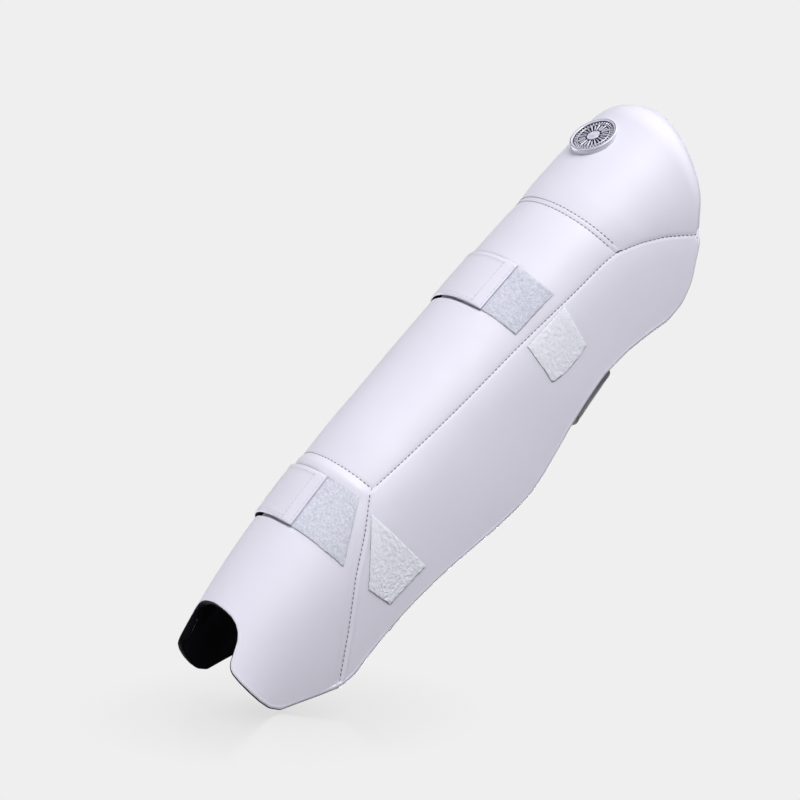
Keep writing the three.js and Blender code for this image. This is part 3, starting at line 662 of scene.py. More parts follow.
def knit(name, dark, light):
    m = Mat(name)
    vector = m.coord()
    loops = m.math("MULTIPLY", m.wave(330, "Z", vector, distort=4.0),
                   m.wave(260, "X", vector, distort=4.0))
    fuzz, big = m.noise(900, detail=5, rough=0.7), m.noise(26)
    tone = m.mix(m.remap(fuzz, span=(0.3, 0.75)), dark, light)
    tone = m.mix(m.remap(big, span=(0.35, 0.7), to=(0, 0.4)), tone, dark)
    m.bump(loops, strength=0.16, depth=0.2)
    m.bump(fuzz, strength=0.35, depth=0.25)
    return m.finish(
        Base_Color=tone, Roughness=m.remap(fuzz, span=(0.2, 0.8), to=(0.73, 0.93)),
        Sheen_Weight=0.05, Sheen_Roughness=0.4, Sheen_Tint=(0.55, 0.6, 0.8),
        Specular_IOR_Level=0.10)


LINING = knit("brushed_lining", dark=(0.0014, 0.0014, 0.0022), light=(0.0034, 0.0036, 0.0056))


def spacer(name):
    m = Mat(name)
    cells = m.voronoi(520, rand=0.25)  # holes of spacer mesh, about 2 mm
    hole = m.ramp(cells, (0.22, 0), (0.40, 1))
    fuzz = m.noise(1400, rough=0.7)
    tone = m.mix(hole, (0.004, 0.004, 0.006), (0.022, 0.023, 0.030))
    tone = m.mix(m.remap(fuzz, span=(0.4, 0.7), to=(0, 0.5)), tone, (0.034, 0.035, 0.044))
    m.bump(hole, strength=0.6, depth=0.5)
    m.bump(fuzz, strength=0.3, depth=0.2)
    return m.finish(Base_Color=tone, Roughness=m.remap(fuzz, to=(0.7, 0.92)), Sheen_Weight=0.35,
                    Sheen_Roughness=0.45, Specular_IOR_Level=0.25)


CUSHION = spacer("spacer_mesh")


def webbing(name, color):
    m = Mat(name)
    vector = m.coord(kind="UV")
    warp, weft = m.wave(21, "X", vector, distort=0.4), m.wave(33, "Y", vector, distort=0.4)
    product = m.math("MULTIPLY", m.math("SUBTRACT", warp, 0.5), m.math("SUBTRACT", weft, 0.5))
    checks = m.math("GREATER_THAN", product, 0.0)
    weave = m.mix(checks, m.mix(1.0, (0, 0, 0), warp), m.mix(1.0, (0, 0, 0), weft))
    fuzz = m.noise(1300, rough=0.7)
    tone = m.mix(weave, shade(color, 0.72), color)
    tone = m.mix(m.remap(fuzz, span=(0.4, 0.75), to=(0, 0.4)), tone, shade(color, 1.12))
    m.bump(weave, strength=0.6, depth=0.35)
    m.bump(fuzz, strength=0.35, depth=0.15)
    return m.finish(Base_Color=tone, Roughness=m.remap(fuzz, to=(0.68, 0.88)),
                    Sheen_Weight=0.3, Sheen_Roughness=0.4)


WEBBING = webbing("elastic_webbing", (0.46, 0.465, 0.50))

PILE_CURLS = [  # noise scale, distortion, its level along a curl, span of fading, amount, colour
    (170, 2.2, 0.5, (0.015, 0.06), 0.95, (0.80, 0.815, 0.93)),
    (260, 3.0, 0.46, (0.01, 0.05), 0.8, (0.76, 0.775, 0.89)),
    (210, 1.6, 0.6, (0.0, 0.04), 0.7, (0.46, 0.475, 0.57))]


def loop_pile(name, darkness):
    """darkness: share of each channel's distance from white that is kept"""
    m = Mat(name)

    def tint(*color):
        return tuple(1 - (1 - np.array(color)) * darkness)

    tuft = m.noise(420, detail=6, rough=0.75, distort=1.2)
    fuzz = m.noise(1700, rough=0.8)
    patchy = m.noise(120, detail=5, rough=0.7, distort=0.8)
    curl = m.voronoi(640, "DISTANCE_TO_EDGE")
    tone = m.mix(m.remap(tuft, span=(0.36, 0.66)), tint(0.52, 0.535, 0.65),
                 tint(0.60, 0.615, 0.72))
    tone = m.mix(m.remap(patchy, span=(0.35, 0.7), to=(0, 0.5)), tone, tint(0.55, 0.565, 0.66))
    for scale, distort, level, span, amount, color in PILE_CURLS:  # fibres lying in curls
        swirl = m.noise(scale, detail=2, distort=distort)
        swirl = m.math("ABSOLUTE", m.math("SUBTRACT", swirl, level))
        tone = m.mix(m.remap(swirl, span=span, to=(amount, 0)), tone, tint(*color))
    tone = m.mix(m.remap(curl, span=(0.0, 0.25), to=(0.2, 0)), tone, tint(0.70, 0.71, 0.79))
    m.bump(tuft, strength=0.9, depth=0.8)
    m.bump(curl, strength=0.5, depth=0.4)
    m.bump(fuzz, strength=0.7, depth=0.3)
    return m.finish(Base_Color=tone, Roughness=0.95, Sheen_Weight=0.8, Sheen_Roughness=0.45,
                    Sheen_Tint=(0.75, 0.8, 1.0), Specular_IOR_Level=0.1)


LOOP = loop_pile("loop_pile", darkness=(0.93, 0.93, 0.93))
# a lighter copy of the same loop pile, for the lower front patch: painted light
LOOP_PAINTED_LIGHT_FRONT = loop_pile("loop_pile_front_painted_light", darkness=(0.86, 0.8428, 0.8342))
# a much lighter copy of the same loop pile for the shaded wing patches: painted light
LOOP_PAINTED_LIGHT_WING = loop_pile("loop_pile_wing_painted_light", darkness=(0.27, 0.2646, 0.027))


def hook_pile(name):
    m = Mat(name)
    pins = m.ramp(m.voronoi(780, rand=0.15), (0.1, 1), (0.35, 0))
    tone = m.mix(pins, (0.50, 0.51, 0.55), (0.74, 0.75, 0.79))
    m.bump(pins, strength=0.9, depth=0.7)
    m.bump(m.noise(500, detail=3), strength=0.3, depth=0.2)
    return m.finish(Base_Color=tone, Roughness=0.6)


HOOK = hook_pile("hook_pile")


def thread(name, dark, light):
    m = Mat(name)
    ply = m.wave(900, "DIAGONAL", m.coord(), distort=0.6)
    patchy = m.noise(300, detail=3)
    m.bump(ply, strength=0.6, depth=0.12)
    return m.finish(Base_Color=m.mix(m.remap(patchy, span=(0.35, 0.65)), dark, light),
                    Roughness=0.6, Sheen_Weight=0.2)


# thread of the panel seams: real thread, coloured dark as painted shade of the stitch holes and seam
# groove
SEAM_THREAD_PAINTED_SHADE = thread("sewing_thread", (0.055, 0.055, 0.075), (0.11, 0.108, 0.14))
PALE_THREAD = thread("pale_thread", (0.50, 0.50, 0.56), (0.62, 0.62, 0.68))
DARK_THREAD = thread("dark_thread", (0.02, 0.02, 0.026), (0.04, 0.04, 0.05))


def metal(name, color, rough, scratch, dirt=None, metallic=1.0):
    m = Mat(name)
    streaks = m.noise(60, detail=6, rough=0.7, vector=m.coord((1, 14, 1)), distort=0.4)
    fine = m.noise(900, rough=0.7)
    tone = m.mix(m.remap(fine, span=(0.4, 0.7), to=(0, 0.25)), color, shade(color, 0.8))
    if dirt:
        spots = m.noise(240, detail=5, rough=0.7)
        tone = m.mix(m.remap(spots, span=(0.42, 0.62), to=(0, 0.8)), tone, dirt)
    m.bump(streaks, strength=scratch, depth=0.05)
    m.bump(fine, strength=0.15, depth=0.04)
    return m.finish(Base_Color=tone, Metallic=metallic,
                    Roughness=m.remap(streaks, to=(rough, rough + 0.16)))


# rim and relief are silver metal given a bright, almost non-metallic colour: painted reflection; the
# relief's darker spots are dirt
RIM_PAINTED_REFLECTION = metal("rim_painted_reflection", (0.74, 0.74, 0.84), rough=0.24, scratch=0.05, metallic=0.15)
RELIEF_PAINTED_REFLECTION = metal("silver_dirt_and_painted_reflection", (0.80, 0.80, 0.92), rough=0.26, scratch=0.20,
               dirt=(0.52, 0.52, 0.62), metallic=0.2)
# dark colour for the bezel's groove and inner slope: painted shade
GROOVE_PAINTED_SHADE = metal("groove_painted_shade", (0.045, 0.045, 0.07), rough=0.4, scratch=0.2, metallic=0.3)


# black for the straps' inner face, which is real, and painted shade on the inner half of the straps'
# edges and on the patches' edge walls
def black_backing_and_painted_shade(name):
    m = Mat(name)
    m.bump(m.noise(1300, rough=0.7), strength=0.4, depth=0.2)
    return m.finish(Base_Color=(0.012, 0.012, 0.016), Roughness=0.9, Specular_IOR_Level=0.1)


BLACK_BACKING_AND_SHADE = black_backing_and_painted_shade("black_backing_and_painted_shade")
DISC = metal("dark_disc", (0.035, 0.038, 0.048), rough=0.38, scratch=0.3,
             dirt=(0.012, 0.013, 0.016))


def plain(name, dark, light, rough, scale, bump=0.3, depth=0.2):
    m = Mat(name)
    patchy, fine = m.noise(scale, detail=5, rough=0.6), m.noise(scale * 9, detail=3)
    m.bump(patchy, bump, depth)
    m.bump(fine, bump, depth * 0.4)
    return m.finish(Base_Color=m.mix(m.remap(patchy, span=(0.35, 0.65)), dark, light),
                    Roughness=m.remap(fine, to=(rough - 0.06, rough + 0.06)))


RUBBER = plain("gasket_rubber", (0.018, 0.018, 0.02), (0.028, 0.028, 0.031), rough=0.75, scale=400)
FOAM = plain("cell_foam", (0.50, 0.51, 0.53), (0.60, 0.61, 0.63), rough=0.9, scale=900,
             bump=0.6, depth=0.3)
PLATE = plain("moulded_sheet", (0.68, 0.70, 0.73), (0.73, 0.75, 0.78), rough=0.45, scale=60,
              bump=0.15, depth=0.1)

# ---------------------------------------------------------------- covers, foam, lining
PANEL_INSET = 3.2  # from the top and rear edges
BOTTOM_LINE = round_line(BOTTOM, 1.0, 2.0)


def rear_line(inset):
    line = [(arc, z) for z, arc in REAR if 50 < z < 552]
    line = [(139.5, 52.5)] + line + [(136.9, 554.5), (136.4, 561.0)]
    return offset_line(round_line(line, 2.0, 9.0), inset)


def panel_bottom(arc):
    line = offset_line(BOTTOM_LINE, 3.0)
    return np.interp(np.abs(arc), np.maximum.accumulate(line[:, 0]), line[:, 1])


def panel_rear(z):
    line = rear_line(PANEL_INSET)
    line = line[np.argsort(line[:, 1])]
    return np.interp(z, line[:, 1], line[:, 0])


def knee_low(arc):
    """z of the knee panel's lower seam"""
    line, side = WING_LINE[WING_LINE[:, 1] >= KNEE_Z], np.abs(arc)
    return np.where(side <= 90, KNEE_Z, np.interp(side, line[:, 0], line[:, 1]))


def instep_top(arc):
    """z of the instep panel's upper seam"""
    line, side = WING_LINE[WING_LINE[:, 1] <= 189.5][::-1], np.abs(arc)
    return np.where(side <= 60, ANKLE_Z, np.interp(side, line[:, 0], line[:, 1]))


def panel_grid(name, fine):
    """(arc, z) grid of a panel, with close rows near its seams"""
    if name == "shin":
        z = spread(ANKLE_Z + SEAM_GAP, KNEE_Z - SEAM_GAP, 180 if fine else 24)
        half = seam_wing(z) - SEAM_GAP
        return np.broadcast_arrays(spread(-half, half, 34 if fine else 8), z)
    if name == "knee":
        arc = spread(-132.5, 132.5, 150 if fine else 26)
        low = knee_low(arc) + SEAM_GAP * np.where(np.abs(arc) > 90, 1.35, 1)
        slope = (end_z(arc + 1) - end_z(arc - 1)) / 2
        high = np.maximum(end_z(arc) - PANEL_INSET * np.hypot(1, slope), low + 1.5)
        return np.broadcast_arrays(arc[:, None], spread(low, high, 62 if fine else 12).T)
    if name == "instep":
        arc = spread(-136.6, 136.6, 170 if fine else 30)
        low = panel_bottom(arc)
        high = instep_top(arc) - np.where(np.abs(arc) > 60, 0.03, SEAM_GAP)
        high = np.maximum(high, low + 0.9)
        return np.broadcast_arrays(arc[:, None], spread(low, high, 84 if fine else 12).T)
    z = spread(57.6, 547.0, 330 if fine else 40)
    low = np.where(z < 189, seam_low(z), seam_wing(z))
    low = low + np.where((z < 189) | (z > 490), 0.03, SEAM_GAP)
    arc = spread(low, np.maximum(panel_rear(z), low + 0.9), 34 if fine else 8)
    return np.broadcast_arrays(arc if name == "outer_wing" else -arc, z)


def dress_panel(name):
    panel = "wing" if "wing" in name else name
    arc, z = panel_grid(name, fine=True)
    height = cover_height(arc, z, panel)
    cover = slab(name + "_cover_skin", arc, z,
                 height - 1.5 * np.minimum(1, 0.25 + share(arc, z)), height,
                 mats=[COVER], sharp=42)
    place(cover, "shell", "shell_cover", name + "_cover")
    arc, z = panel_grid(name, fine=False)
    height, part = cover_height(arc, z, panel), share(arc, z)
    under_cover = height - 1.7 * np.minimum(1, 0.25 + part)
    foam = slab(name + "_foam_core", arc, z, -FOAM_DEPTH * part,
                np.minimum(under_cover, -2.6 * part) - 0.2, mats=[FOAM])
    place(foam, "shell", "foam", name + "_foam")
    seam, _ = line_distance(np.abs(arc), z, WING_LINE)
    puff = 0.8 * bell(seam, 5) - 0.25 * (0.35 * np.sin(arc / 9.0) * np.sin(z / 14.0))
    lining = slab(name + "_lining_cloth", arc, z, -LINING_DEPTH * part + puff * part,
                  -13.5 * part, mats=[LINING])
    place(lining, "shell", "inner_lining", name + "_lining")


def lining_tape(name, line, width=7.0):
    """tape over a seam of the lining"""
    line = resample(line, 3.0)
    grid = np.stack([offset_line(line, v) for v in np.linspace(-width / 2, width / 2, 5)], 1)
    arc, z = grid[..., 0], grid[..., 1]
    part = share(arc, z)
    tape = slab(name, arc, z, -14.85 * part, -14.05 * part, mats=[LINING])
    place(tape, "shell", "inner_lining")


def stiffener(panel, half, low, high):
    """plate that follows the padding above it"""
    arc, z = np.meshgrid(np.linspace(-half, half, 25), np.linspace(low, high, 61), indexing="ij")
    height = np.minimum(cover_height(arc, z, panel), 0.0)
    plate = slab(panel + "_stiffener", arc, z, height - 2.6, height - 1.65, mats=[PLATE])
    place(plate, "shell", "stiffener", panel + "_plate")


for name in ("shin", "knee", "instep", "outer_wing", "inner_wing"):
    dress_panel(name)
for wing, side in SIDES:
    lining_tape(wing + "_lining_tape", WING_LINE[1:-3] * [side, 1])
lining_tape("ankle_lining_tape", [(-62, 190.6), (62, 190.6)])
lining_tape("knee_lining_tape", [(-92, 484.4), (92, 484.4)])
stiffener("shin", 44, 214, 462)
stiffener("knee", 52, 500, 578)


# ---------------------------------------------------------------- bindings and corners
def binding(where, line, side, dark_from, width, lap=0.04):
    """folded tape round an open edge

    line: in (arc, z), with the pad on its left if side is 1, on its right if -1;
    dark_from: first point of the section whose faces have the lining's material;
    lap: height of the tape's outer edge.
    """
    back = -LINING_DEPTH * EDGE_SHARE
    section = [  # inset from the edge, height
        (width, -1.1), (width, lap), (width - 0.5, lap + 0.12), (width * 0.62, lap + 0.08),
        (width * 0.38, lap - 0.1), (1.0, -0.22), (0.45, -0.85), (0.12, -1.7), (0.0, back * 0.5),
        (0.12, back + 1.5), (0.5, back + 0.6), (1.1, back - 0.02), (width * 0.5, back - 0.35),
        (width, back - 0.45), (width, back + 0.5), (1.9, back + 1.4), (1.9, -1.5)]
    rings = np.stack([point(*offset_line(line, side * inset).T, height)
                      for inset, height in section], 1)
    size = len(section)
    uv = np.stack(np.broadcast_arrays(run_along(line)[:, None] / 100,
                                      np.linspace(0, 0.2, size)[None, :]), -1)
    tape = sweep(where + "_edge", rings, uv, mats=[BINDING, LINING], sharp=60)
    j = np.arange((len(line) - 1) * size) % size
    second_material(tape, (j >= dark_from) & (j < 15))
    place(tape, "shell", "edge_binding", where + "_binding")


def both_sides(half):
    """a line from arc 0 on, with its mirror image before it"""
    return np.concatenate([half[:0:-1] * [-1, 1], half])


top_line = np.array([(arc, float(end_z(arc))) for arc in np.linspace(0, 136.6, 60)])
top_line = resample(both_sides(top_line), 2.5)
TOP_TAPE, TOP_LAP = 4.4, 0.3
binding("top", top_line, -1, dark_from=9, width=TOP_TAPE, lap=TOP_LAP)
stitch_surface(offset_line(top_line, 1.0 - TOP_TAPE), TOP_LAP + 0.12, radius=0.24, lift=0.0)
wing_edge = resample(rear_line(0.0), 2.5)
binding("outer", wing_edge, 1, dark_from=7, width=3.4)
binding("inner", (wing_edge * [-1, 1])[::-1], 1, dark_from=7, width=3.4)
bottom_half = BOTTOM_LINE[BOTTOM_LINE[:, 0] >= 0]
bottom_half[0] = (0, bottom_half[0, 1])
bottom_half = bottom_half[(bottom_half[:, 1] < 53.5) | (bottom_half[:, 0] < 100)]
bottom_line = both_sides(bottom_half)
binding("bottom", resample(bottom_line, 1.6), 1, dark_from=5, width=3.6)


def corner(name, side, arcs, heights):
    """small sheet where the panels and two bindings meet; its inner face is lining"""
    arc, z = np.meshgrid(np.linspace(*arcs, 13) * side, np.linspace(*heights, 21), indexing="ij")
    sheet = 12 * 20
    index = np.zeros(2 * sheet + 2 * (12 + 20), np.int32)
    index[:sheet] = 1
    piece = slab(name, arc, z, -5.0, -1.05, mats=[COVER, LINING], mat_index=index)
    place(piece, "shell", "shell_cover")


for name, arcs, heights in (("top_corner", (128.5, 136.2), (541, 561.2)),
                            ("low_corner", (132.5, 139.6), (55.0, 60.5))):
    for wing, side in SIDES:
        corner(f"{wing}_{name}", side, arcs, heights)
sew("edge_threads", PALE_THREAD, "shell", "edge_binding")


# ---------------------------------------------------------------- sewing on the covers
def level_line(z, half):
    return np.stack([np.linspace(-half, half, 120), np.full(120, z)], -1)


for wing, side in SIDES:
    line = round_line(WING_LINE[WING_LINE[:, 1] > 189.2], 1.0, 2.0) * [side, 1]
    stitch_cover(line, "shin")
    line = round_line(WING_LINE[WING_LINE[:, 1] < 188.8], 1.0, 2.0) * [side, 1]
    stitch_cover(line[2:-1], "instep")
stitch_cover(level_line(ANKLE_Z, 58), "shin")
stitch_cover(level_line(KNEE_Z, 82), "knee")
stitch_cover(level_line(KNEE_Z + 4.8, 83), "knee")
sew("seam_threads", SEAM_THREAD_PAINTED_SHADE, "shell", "shell_cover")


# ---------------------------------------------------------------- loop-tape patches
def patch(name, corners, panel, mat, bow=0.0):
    """corners in (arc, z) go round from the lower one at u = v = 0; bow swells the side u = 1"""
    first, second, third, fourth = corners = np.array(corners, float)
    width = max(np.linalg.norm(second - first), np.linalg.norm(third - fourth))
    length = max(np.linalg.norm(fourth - first), np.linalg.norm(third - second))

    def spots(u, v):
        right, up = u[..., None], v[..., None]
        spot = ((first * (1 - right) + second * right) * (1 - up)
                + (fourth * (1 - right) + third * right) * up)
        spot[..., 0] += bow * u * 4 * v * (1 - v)
        return spot

    columns, rows = int(width / 1.0), int(length / 1.0)
    u, v = unit_grid(columns, rows)
    grid = spots(u, v)
    edge = np.minimum(np.minimum(u, 1 - u) * width, np.minimum(v, 1 - v) * length)
    frayed = RNG.normal(0, 0.16, grid.shape) * (edge < 0.5)[..., None]
    grid = grid + frayed + RNG.normal(0, 0.10, grid.shape) * (edge >= 0.5)[..., None]
    arc, z = grid[..., 0], grid[..., 1]
    height = cover_height(arc, z, panel)
    pile = RNG.normal(0, 0.13, arc.shape)
    for _ in range(2):
        pile = (pile + np.roll(pile, 1, 0) + np.roll(pile, 1, 1)) / 2.1
    tufts = (0.16 * np.sin(arc * 1.9 + 2 * np.sin(z * 0.7))
             * np.sin(z * 2.1 + 1.5 * np.sin(arc * 0.9)))
    top = 0.95 + pile + tufts - 0.12 * bell(edge - 2.0, 0.7) - 0.35 * (edge < 0.5)
    tape = slab(name + "_pile", arc, z, height + 0.02, height + np.maximum(top, 0.25),
                mats=[mat, BLACK_BACKING_AND_SHADE], sharp=70)
    # the patch's edge walls are black: painted shade line along its edges
    second_material(tape, np.arange(len(tape.data.polygons)) >= 2 * columns * rows)
    place(tape, "shell", "loop_tape", name)
    inset = 2.0
    right, up = width - inset, length - inset
    ring = resample([(inset, inset), (right, inset), (right, up), (inset, up), (inset, inset)], 1.0)
    line = spots(*(ring / [width, length]).T)
    stitch_surface(line, cover_height(line[:, 0], line[:, 1], panel) + 0.55,
                   pitch=3.4, gap=1.1, radius=0.14, lift=0.0)


def unit_grid(columns, rows):
    return np.meshgrid(np.linspace(0, 1, columns + 1), np.linspace(0, 1, rows + 1), indexing="ij")


patch("upper_front_patch", [(-6, 371), (70, 371), (72, 420), (-6, 421)], "shin", LOOP)
patch("upper_wing_patch", [(84, 370), (121, 364), (123, 408), (86, 418)], "wing", LOOP_PAINTED_LIGHT_WING,
      bow=3.0)
patch("lower_front_patch", [(-10, 126), (80, 127), (56, 179), (-10, 178)], "instep", LOOP_PAINTED_LIGHT_FRONT)
patch("lower_wing_patch", [(110, 128), (134, 132), (139, 176), (72, 175)], "wing", LOOP_PAINTED_LIGHT_WING)
sew("patch_threads", PALE_THREAD, "shell", "loop_tape")

# ---------------------------------------------------------------- badge
BADGE_Z, BADGE_R = 562.8, 22.0
BADGE_OUT = unit(np.array([0.085, -0.98, 0.165]))  # leans a little up and outwards on the dome
BADGE_UP = unit(np.array([0, 0, 1.0]) - BADGE_OUT[2] * BADGE_OUT)
BADGE_X = np.cross(BADGE_UP, BADGE_OUT)
BADGE_CENTRE = np.array([-0.6, float(hermite(FRONT_Y, BADGE_Z)), BADGE_Z]) + BADGE_OUT * 1.5


def on_badge(radius, angle, height):
    radius, angle, height = np.broadcast_arrays(
        *(np.asarray(v, float) for v in (radius, angle, height)))
    right = radius * np.cos(angle)
    height = height - 0.30 * right**2 / 156  # bent to the dome
    return (BADGE_CENTRE + BADGE_X * right[..., None]
            + BADGE_UP * (radius * np.sin(angle))[..., None] + BADGE_OUT * height[..., None])


def on_dome(points, height):
    """points of the badge carried to a height over the cover"""
    arc, z = points[:, 0].copy(), points[:, 2]
    for _ in range(6):
        arc += (points[:, 0] - surface(arc, z)[:, 0]) / 0.96
    return point(arc, z, cover_height(arc, z, "knee") + height)


def turned(name, section, steps, sunk=(), **looks):
    """section of (radius, height) turned round; sunk: (its point, height over the cover)"""
    radius, height = np.array(section).T
    angle = (np.arange(steps) * 2 * np.pi / steps)[:, None]
    rings = on_badge(radius, angle, height)
    for k, depth in sunk:
        rings[:, k] = on_dome(rings[:, k], depth)
    uv = np.stack(np.broadcast_arrays(angle, np.arange(len(section)) * 0.1), -1)
    return sweep(name, rings, uv, closed=True, **looks)


BEZEL = [(inset and BADGE_R - inset or BADGE_R, height) for inset, height in (
    (3.6, 0.4), (0.3, 0.4), (0, 0.4), (0, 1.5), (0.1, 2.3), (0.4, 2.95), (0.85, 3.2), (1.2, 3.2),
    (1.3, 2.95), (1.55, 2.95), (1.65, 3.25), (2.6, 3.1), (3.2, 2.5), (3.6, 1.9))]
piece = turned("badge_bezel", BEZEL, 128, sunk=((1, -0.6), (2, -0.2)), mats=[RIM_PAINTED_REFLECTION, GROOVE_PAINTED_SHADE],
               sharp=40)
# faces in the groove and on the inner slope get the dark colour: painted shade
second_material(piece, np.isin(np.arange(128 * len(BEZEL)) % len(BEZEL), (7, 8, 9, 12, 13)))
place(piece, "shell", "badge_rim", "badge_rim")
piece = turned("badge_plate", [
    (0.02, 0.4), (BADGE_R - 3.95, 0.4), (BADGE_R - 3.7, 0.6), (BADGE_R - 3.7, 1.35),
    (BADGE_R - 4.1, 1.5), (15.9, 1.45), (15.5, 1.15), (6.6, 1.05), (6.2, 1.3), (0.02, 1.5),
], 96, mats=[DISC], sharp=50)
place(piece, "shell", "badge_disc", "badge_disc")


def bar(radii, angle, widths, heights):
    """points of a radial bar with a rounded top; pairs run from its inner to its outer end,
    and from its foot to its top"""
    (inner, outer), (inner_width, outer_width), (foot, top) = radii, widths, heights
    tangent = -BADGE_X * math.sin(angle) + BADGE_UP * math.cos(angle)
    across = np.array([-1, -1, -0.45, 0.45, 1, 1])
    points = []
    for radius, width, shoulder, crown in (
            (inner, inner_width, 0.35, 0.5), (inner + 0.25, inner_width, 0.6, 1),
            (outer - 0.25, outer_width, 0.6, 1), (outer, outer_width, 0.35, 0.5)):
        height = foot + (top - foot) * np.array([0, shoulder, crown, crown, shoulder, 0])
        points.append(on_badge(radius, angle, height) + tangent * (across * width / 2)[:, None])
    return np.concatenate(points)


bars = [bar((16.0, 18.0), 2 * math.pi * i / 40, (1.1, 1.4), (1.3, 2.1)) for i in range(40)]
for i in range(24):  # long and short bars in turn
    radii, outer_width, top = ((6.9, 14.4), 1.9, 2.05) if i % 2 else ((7.9, 13.6), 1.3, 1.8)
    bars.append(bar(radii, 2 * math.pi * (i + 0.5) / 24, (0.8, outer_width), (0.95, top)))
BAR_FACES = np.concatenate([
    tube_faces(4, 6), [[0, 5, 4, 1], [1, 4, 3, 2], [18, 19, 22, 23], [19, 20, 21, 22]]])
piece = make("badge_bars", np.concatenate(bars), [copies_of(BAR_FACES, len(bars), 24)],
             mats=[RELIEF_PAINTED_REFLECTION], sharp=35)
place(piece, "shell", "badge_rim")
piece = turned("badge_ring", [(14.8, 1.1), (15.5, 1.1), (15.5, 1.85), (15.15, 2.1), (14.8, 1.85)],
               96, mats=[RELIEF_PAINTED_REFLECTION], sharp=40)
place(piece, "shell", "badge_rim")
piece = turned("badge_boss", [
    (0.02, 1.2), (5.9, 1.2), (5.9, 1.8), (5.5, 2.05), (4.8, 2.05), (4.55, 1.7), (4.0, 1.75),
    (2.7, 2.25), (0.02, 2.5)], 64, mats=[RELIEF_PAINTED_REFLECTION], sharp=40)
place(piece, "shell", "badge_rim")

# gasket between the badge and the curved dome
angle = np.linspace(0, 2 * np.pi, 73)[:-1]
rows = [on_badge(radius, angle, height) for radius, height in ((6, 0.35), (20.3, 0.35), (20.8, 0.2))]
rows += [on_dome(on_badge(radius, angle, height), -0.7)
         for radius, height in ((20.8, -0.1), (20.0, 0), (6, 0))]
piece = sweep("badge_seat", np.stack(rows, 1), np.zeros((72 * 6, 2)), closed=True, mats=[RUBBER],
              sharp=40)
place(piece, "shell", "badge_gasket", "badge_gasket")


# ---------------------------------------------------------------- straps
def catmull(points, steps=10):
    """smooth line through the points"""
    knots = np.concatenate([points[:1], points, points[-1:]])
    line = []
    for before, start, end, after in zip(knots, knots[1:], knots[2:], knots[3:]):
        for t in np.arange(steps) / steps:
            line.append(0.5 * (2 * start + (end - before) * t
                               + (2 * before - 5 * start + 4 * end - after) * t * t
                               + (3 * start - before - 3 * end + after) * t**3))
    return np.array(line + [points[-1]])


def free_path(strap, rear_z):
    """(x, y) of the strap from the inner wing's rear round the calf to the outer wing's inside"""
    rear = point(strap.rear, rear_z, strap_height(strap, strap.rear))[:2]
    round_calf = [strap.inner] + strap.calf + [strap.outer]
    end_z_ = rear_z - (run_along(round_calf)[-1] + 10) * strap.calf_slope
    end = point(128.0, end_z_, -LINING_DEPTH * float(share(128.0, end_z_)) - 2.0)[:2]
    approach = rear * 0.45 + np.array(strap.inner) * 0.55
    leave = end * [0.45, 0.5] + np.array(strap.outer) * [0.55, 0.5]
    path = np.array([rear, approach, *round_calf, leave, end], float)
    return resample(catmull(path), 2.2)


def make_ribbon(strap):
    """stations of the strap from its tip: centre, outward normal, up and run; and the run at
    its fold, rear, inner and outer points and in total"""
    arc = np.concatenate([np.linspace(strap.tip, strap.fold + 12, 76),
                          np.linspace(strap.fold + 11, strap.rear, 90)])
    z, height = strap_z(strap, arc), strap_height(strap, arc)
    up = (point(arc, z + STRAP_HALF, height) - point(arc, z - STRAP_HALF, height)) / 2 / STRAP_HALF
    rear_z = float(strap_z(strap, strap.rear))
    path = free_path(strap, rear_z)
    path_run = run_along(path)
    ahead = unit(np.gradient(path, axis=0))
    path_out = np.stack([-ahead[:, 1], ahead[:, 0], np.zeros(len(ahead))], -1)
    path_centre = np.concatenate([path, (rear_z - path_run * strap.calf_slope)[:, None]], 1)
    # round the calf the band leans, its lower edge further out
    lean = (strap.lean * smooth(path_run / 30 - 0.6)
            * smooth((path_run[-1] - path_run) / 30 - 1.0))[:, None]
    path_up = np.array([0, 0, 1.0]) - path_out * lean
    path_out = unit(path_out + np.array([0, 0, 1.0]) * lean)
    centre = np.concatenate([point(arc, z, height), path_centre[1:]])
    out = np.concatenate([normal(arc, z), path_out[1:]])
    up = np.concatenate([up, path_up[1:]])
    j = len(arc)
    for _ in range(6):  # ease the turn from the shell to the free part
        for rows in (out, up):
            rows[j - 8:j + 8] = (rows[j - 9:j + 7] + rows[j - 8:j + 8] + rows[j - 7:j + 9]) / 3
    run = run_along(centre)

    def nearest(spot):
        return run[int(np.argmin(np.hypot(centre[:, 0] - spot[0], centre[:, 1] - spot[1])))]

    return Record(centre=centre, out=unit(out), up=up, run=run,
                  fold=float(np.interp(-strap.fold, -arc, run[:j])), rear=run[j - 1],
                  inner=nearest(strap.inner), outer=nearest(strap.outer), total=run[-1])


def stations(ribbon, run):
    return (along(ribbon.run, rows, run) for rows in (ribbon.centre, ribbon.out, ribbon.up))


FACE_POINTS = 19  # across the outer face of a strap


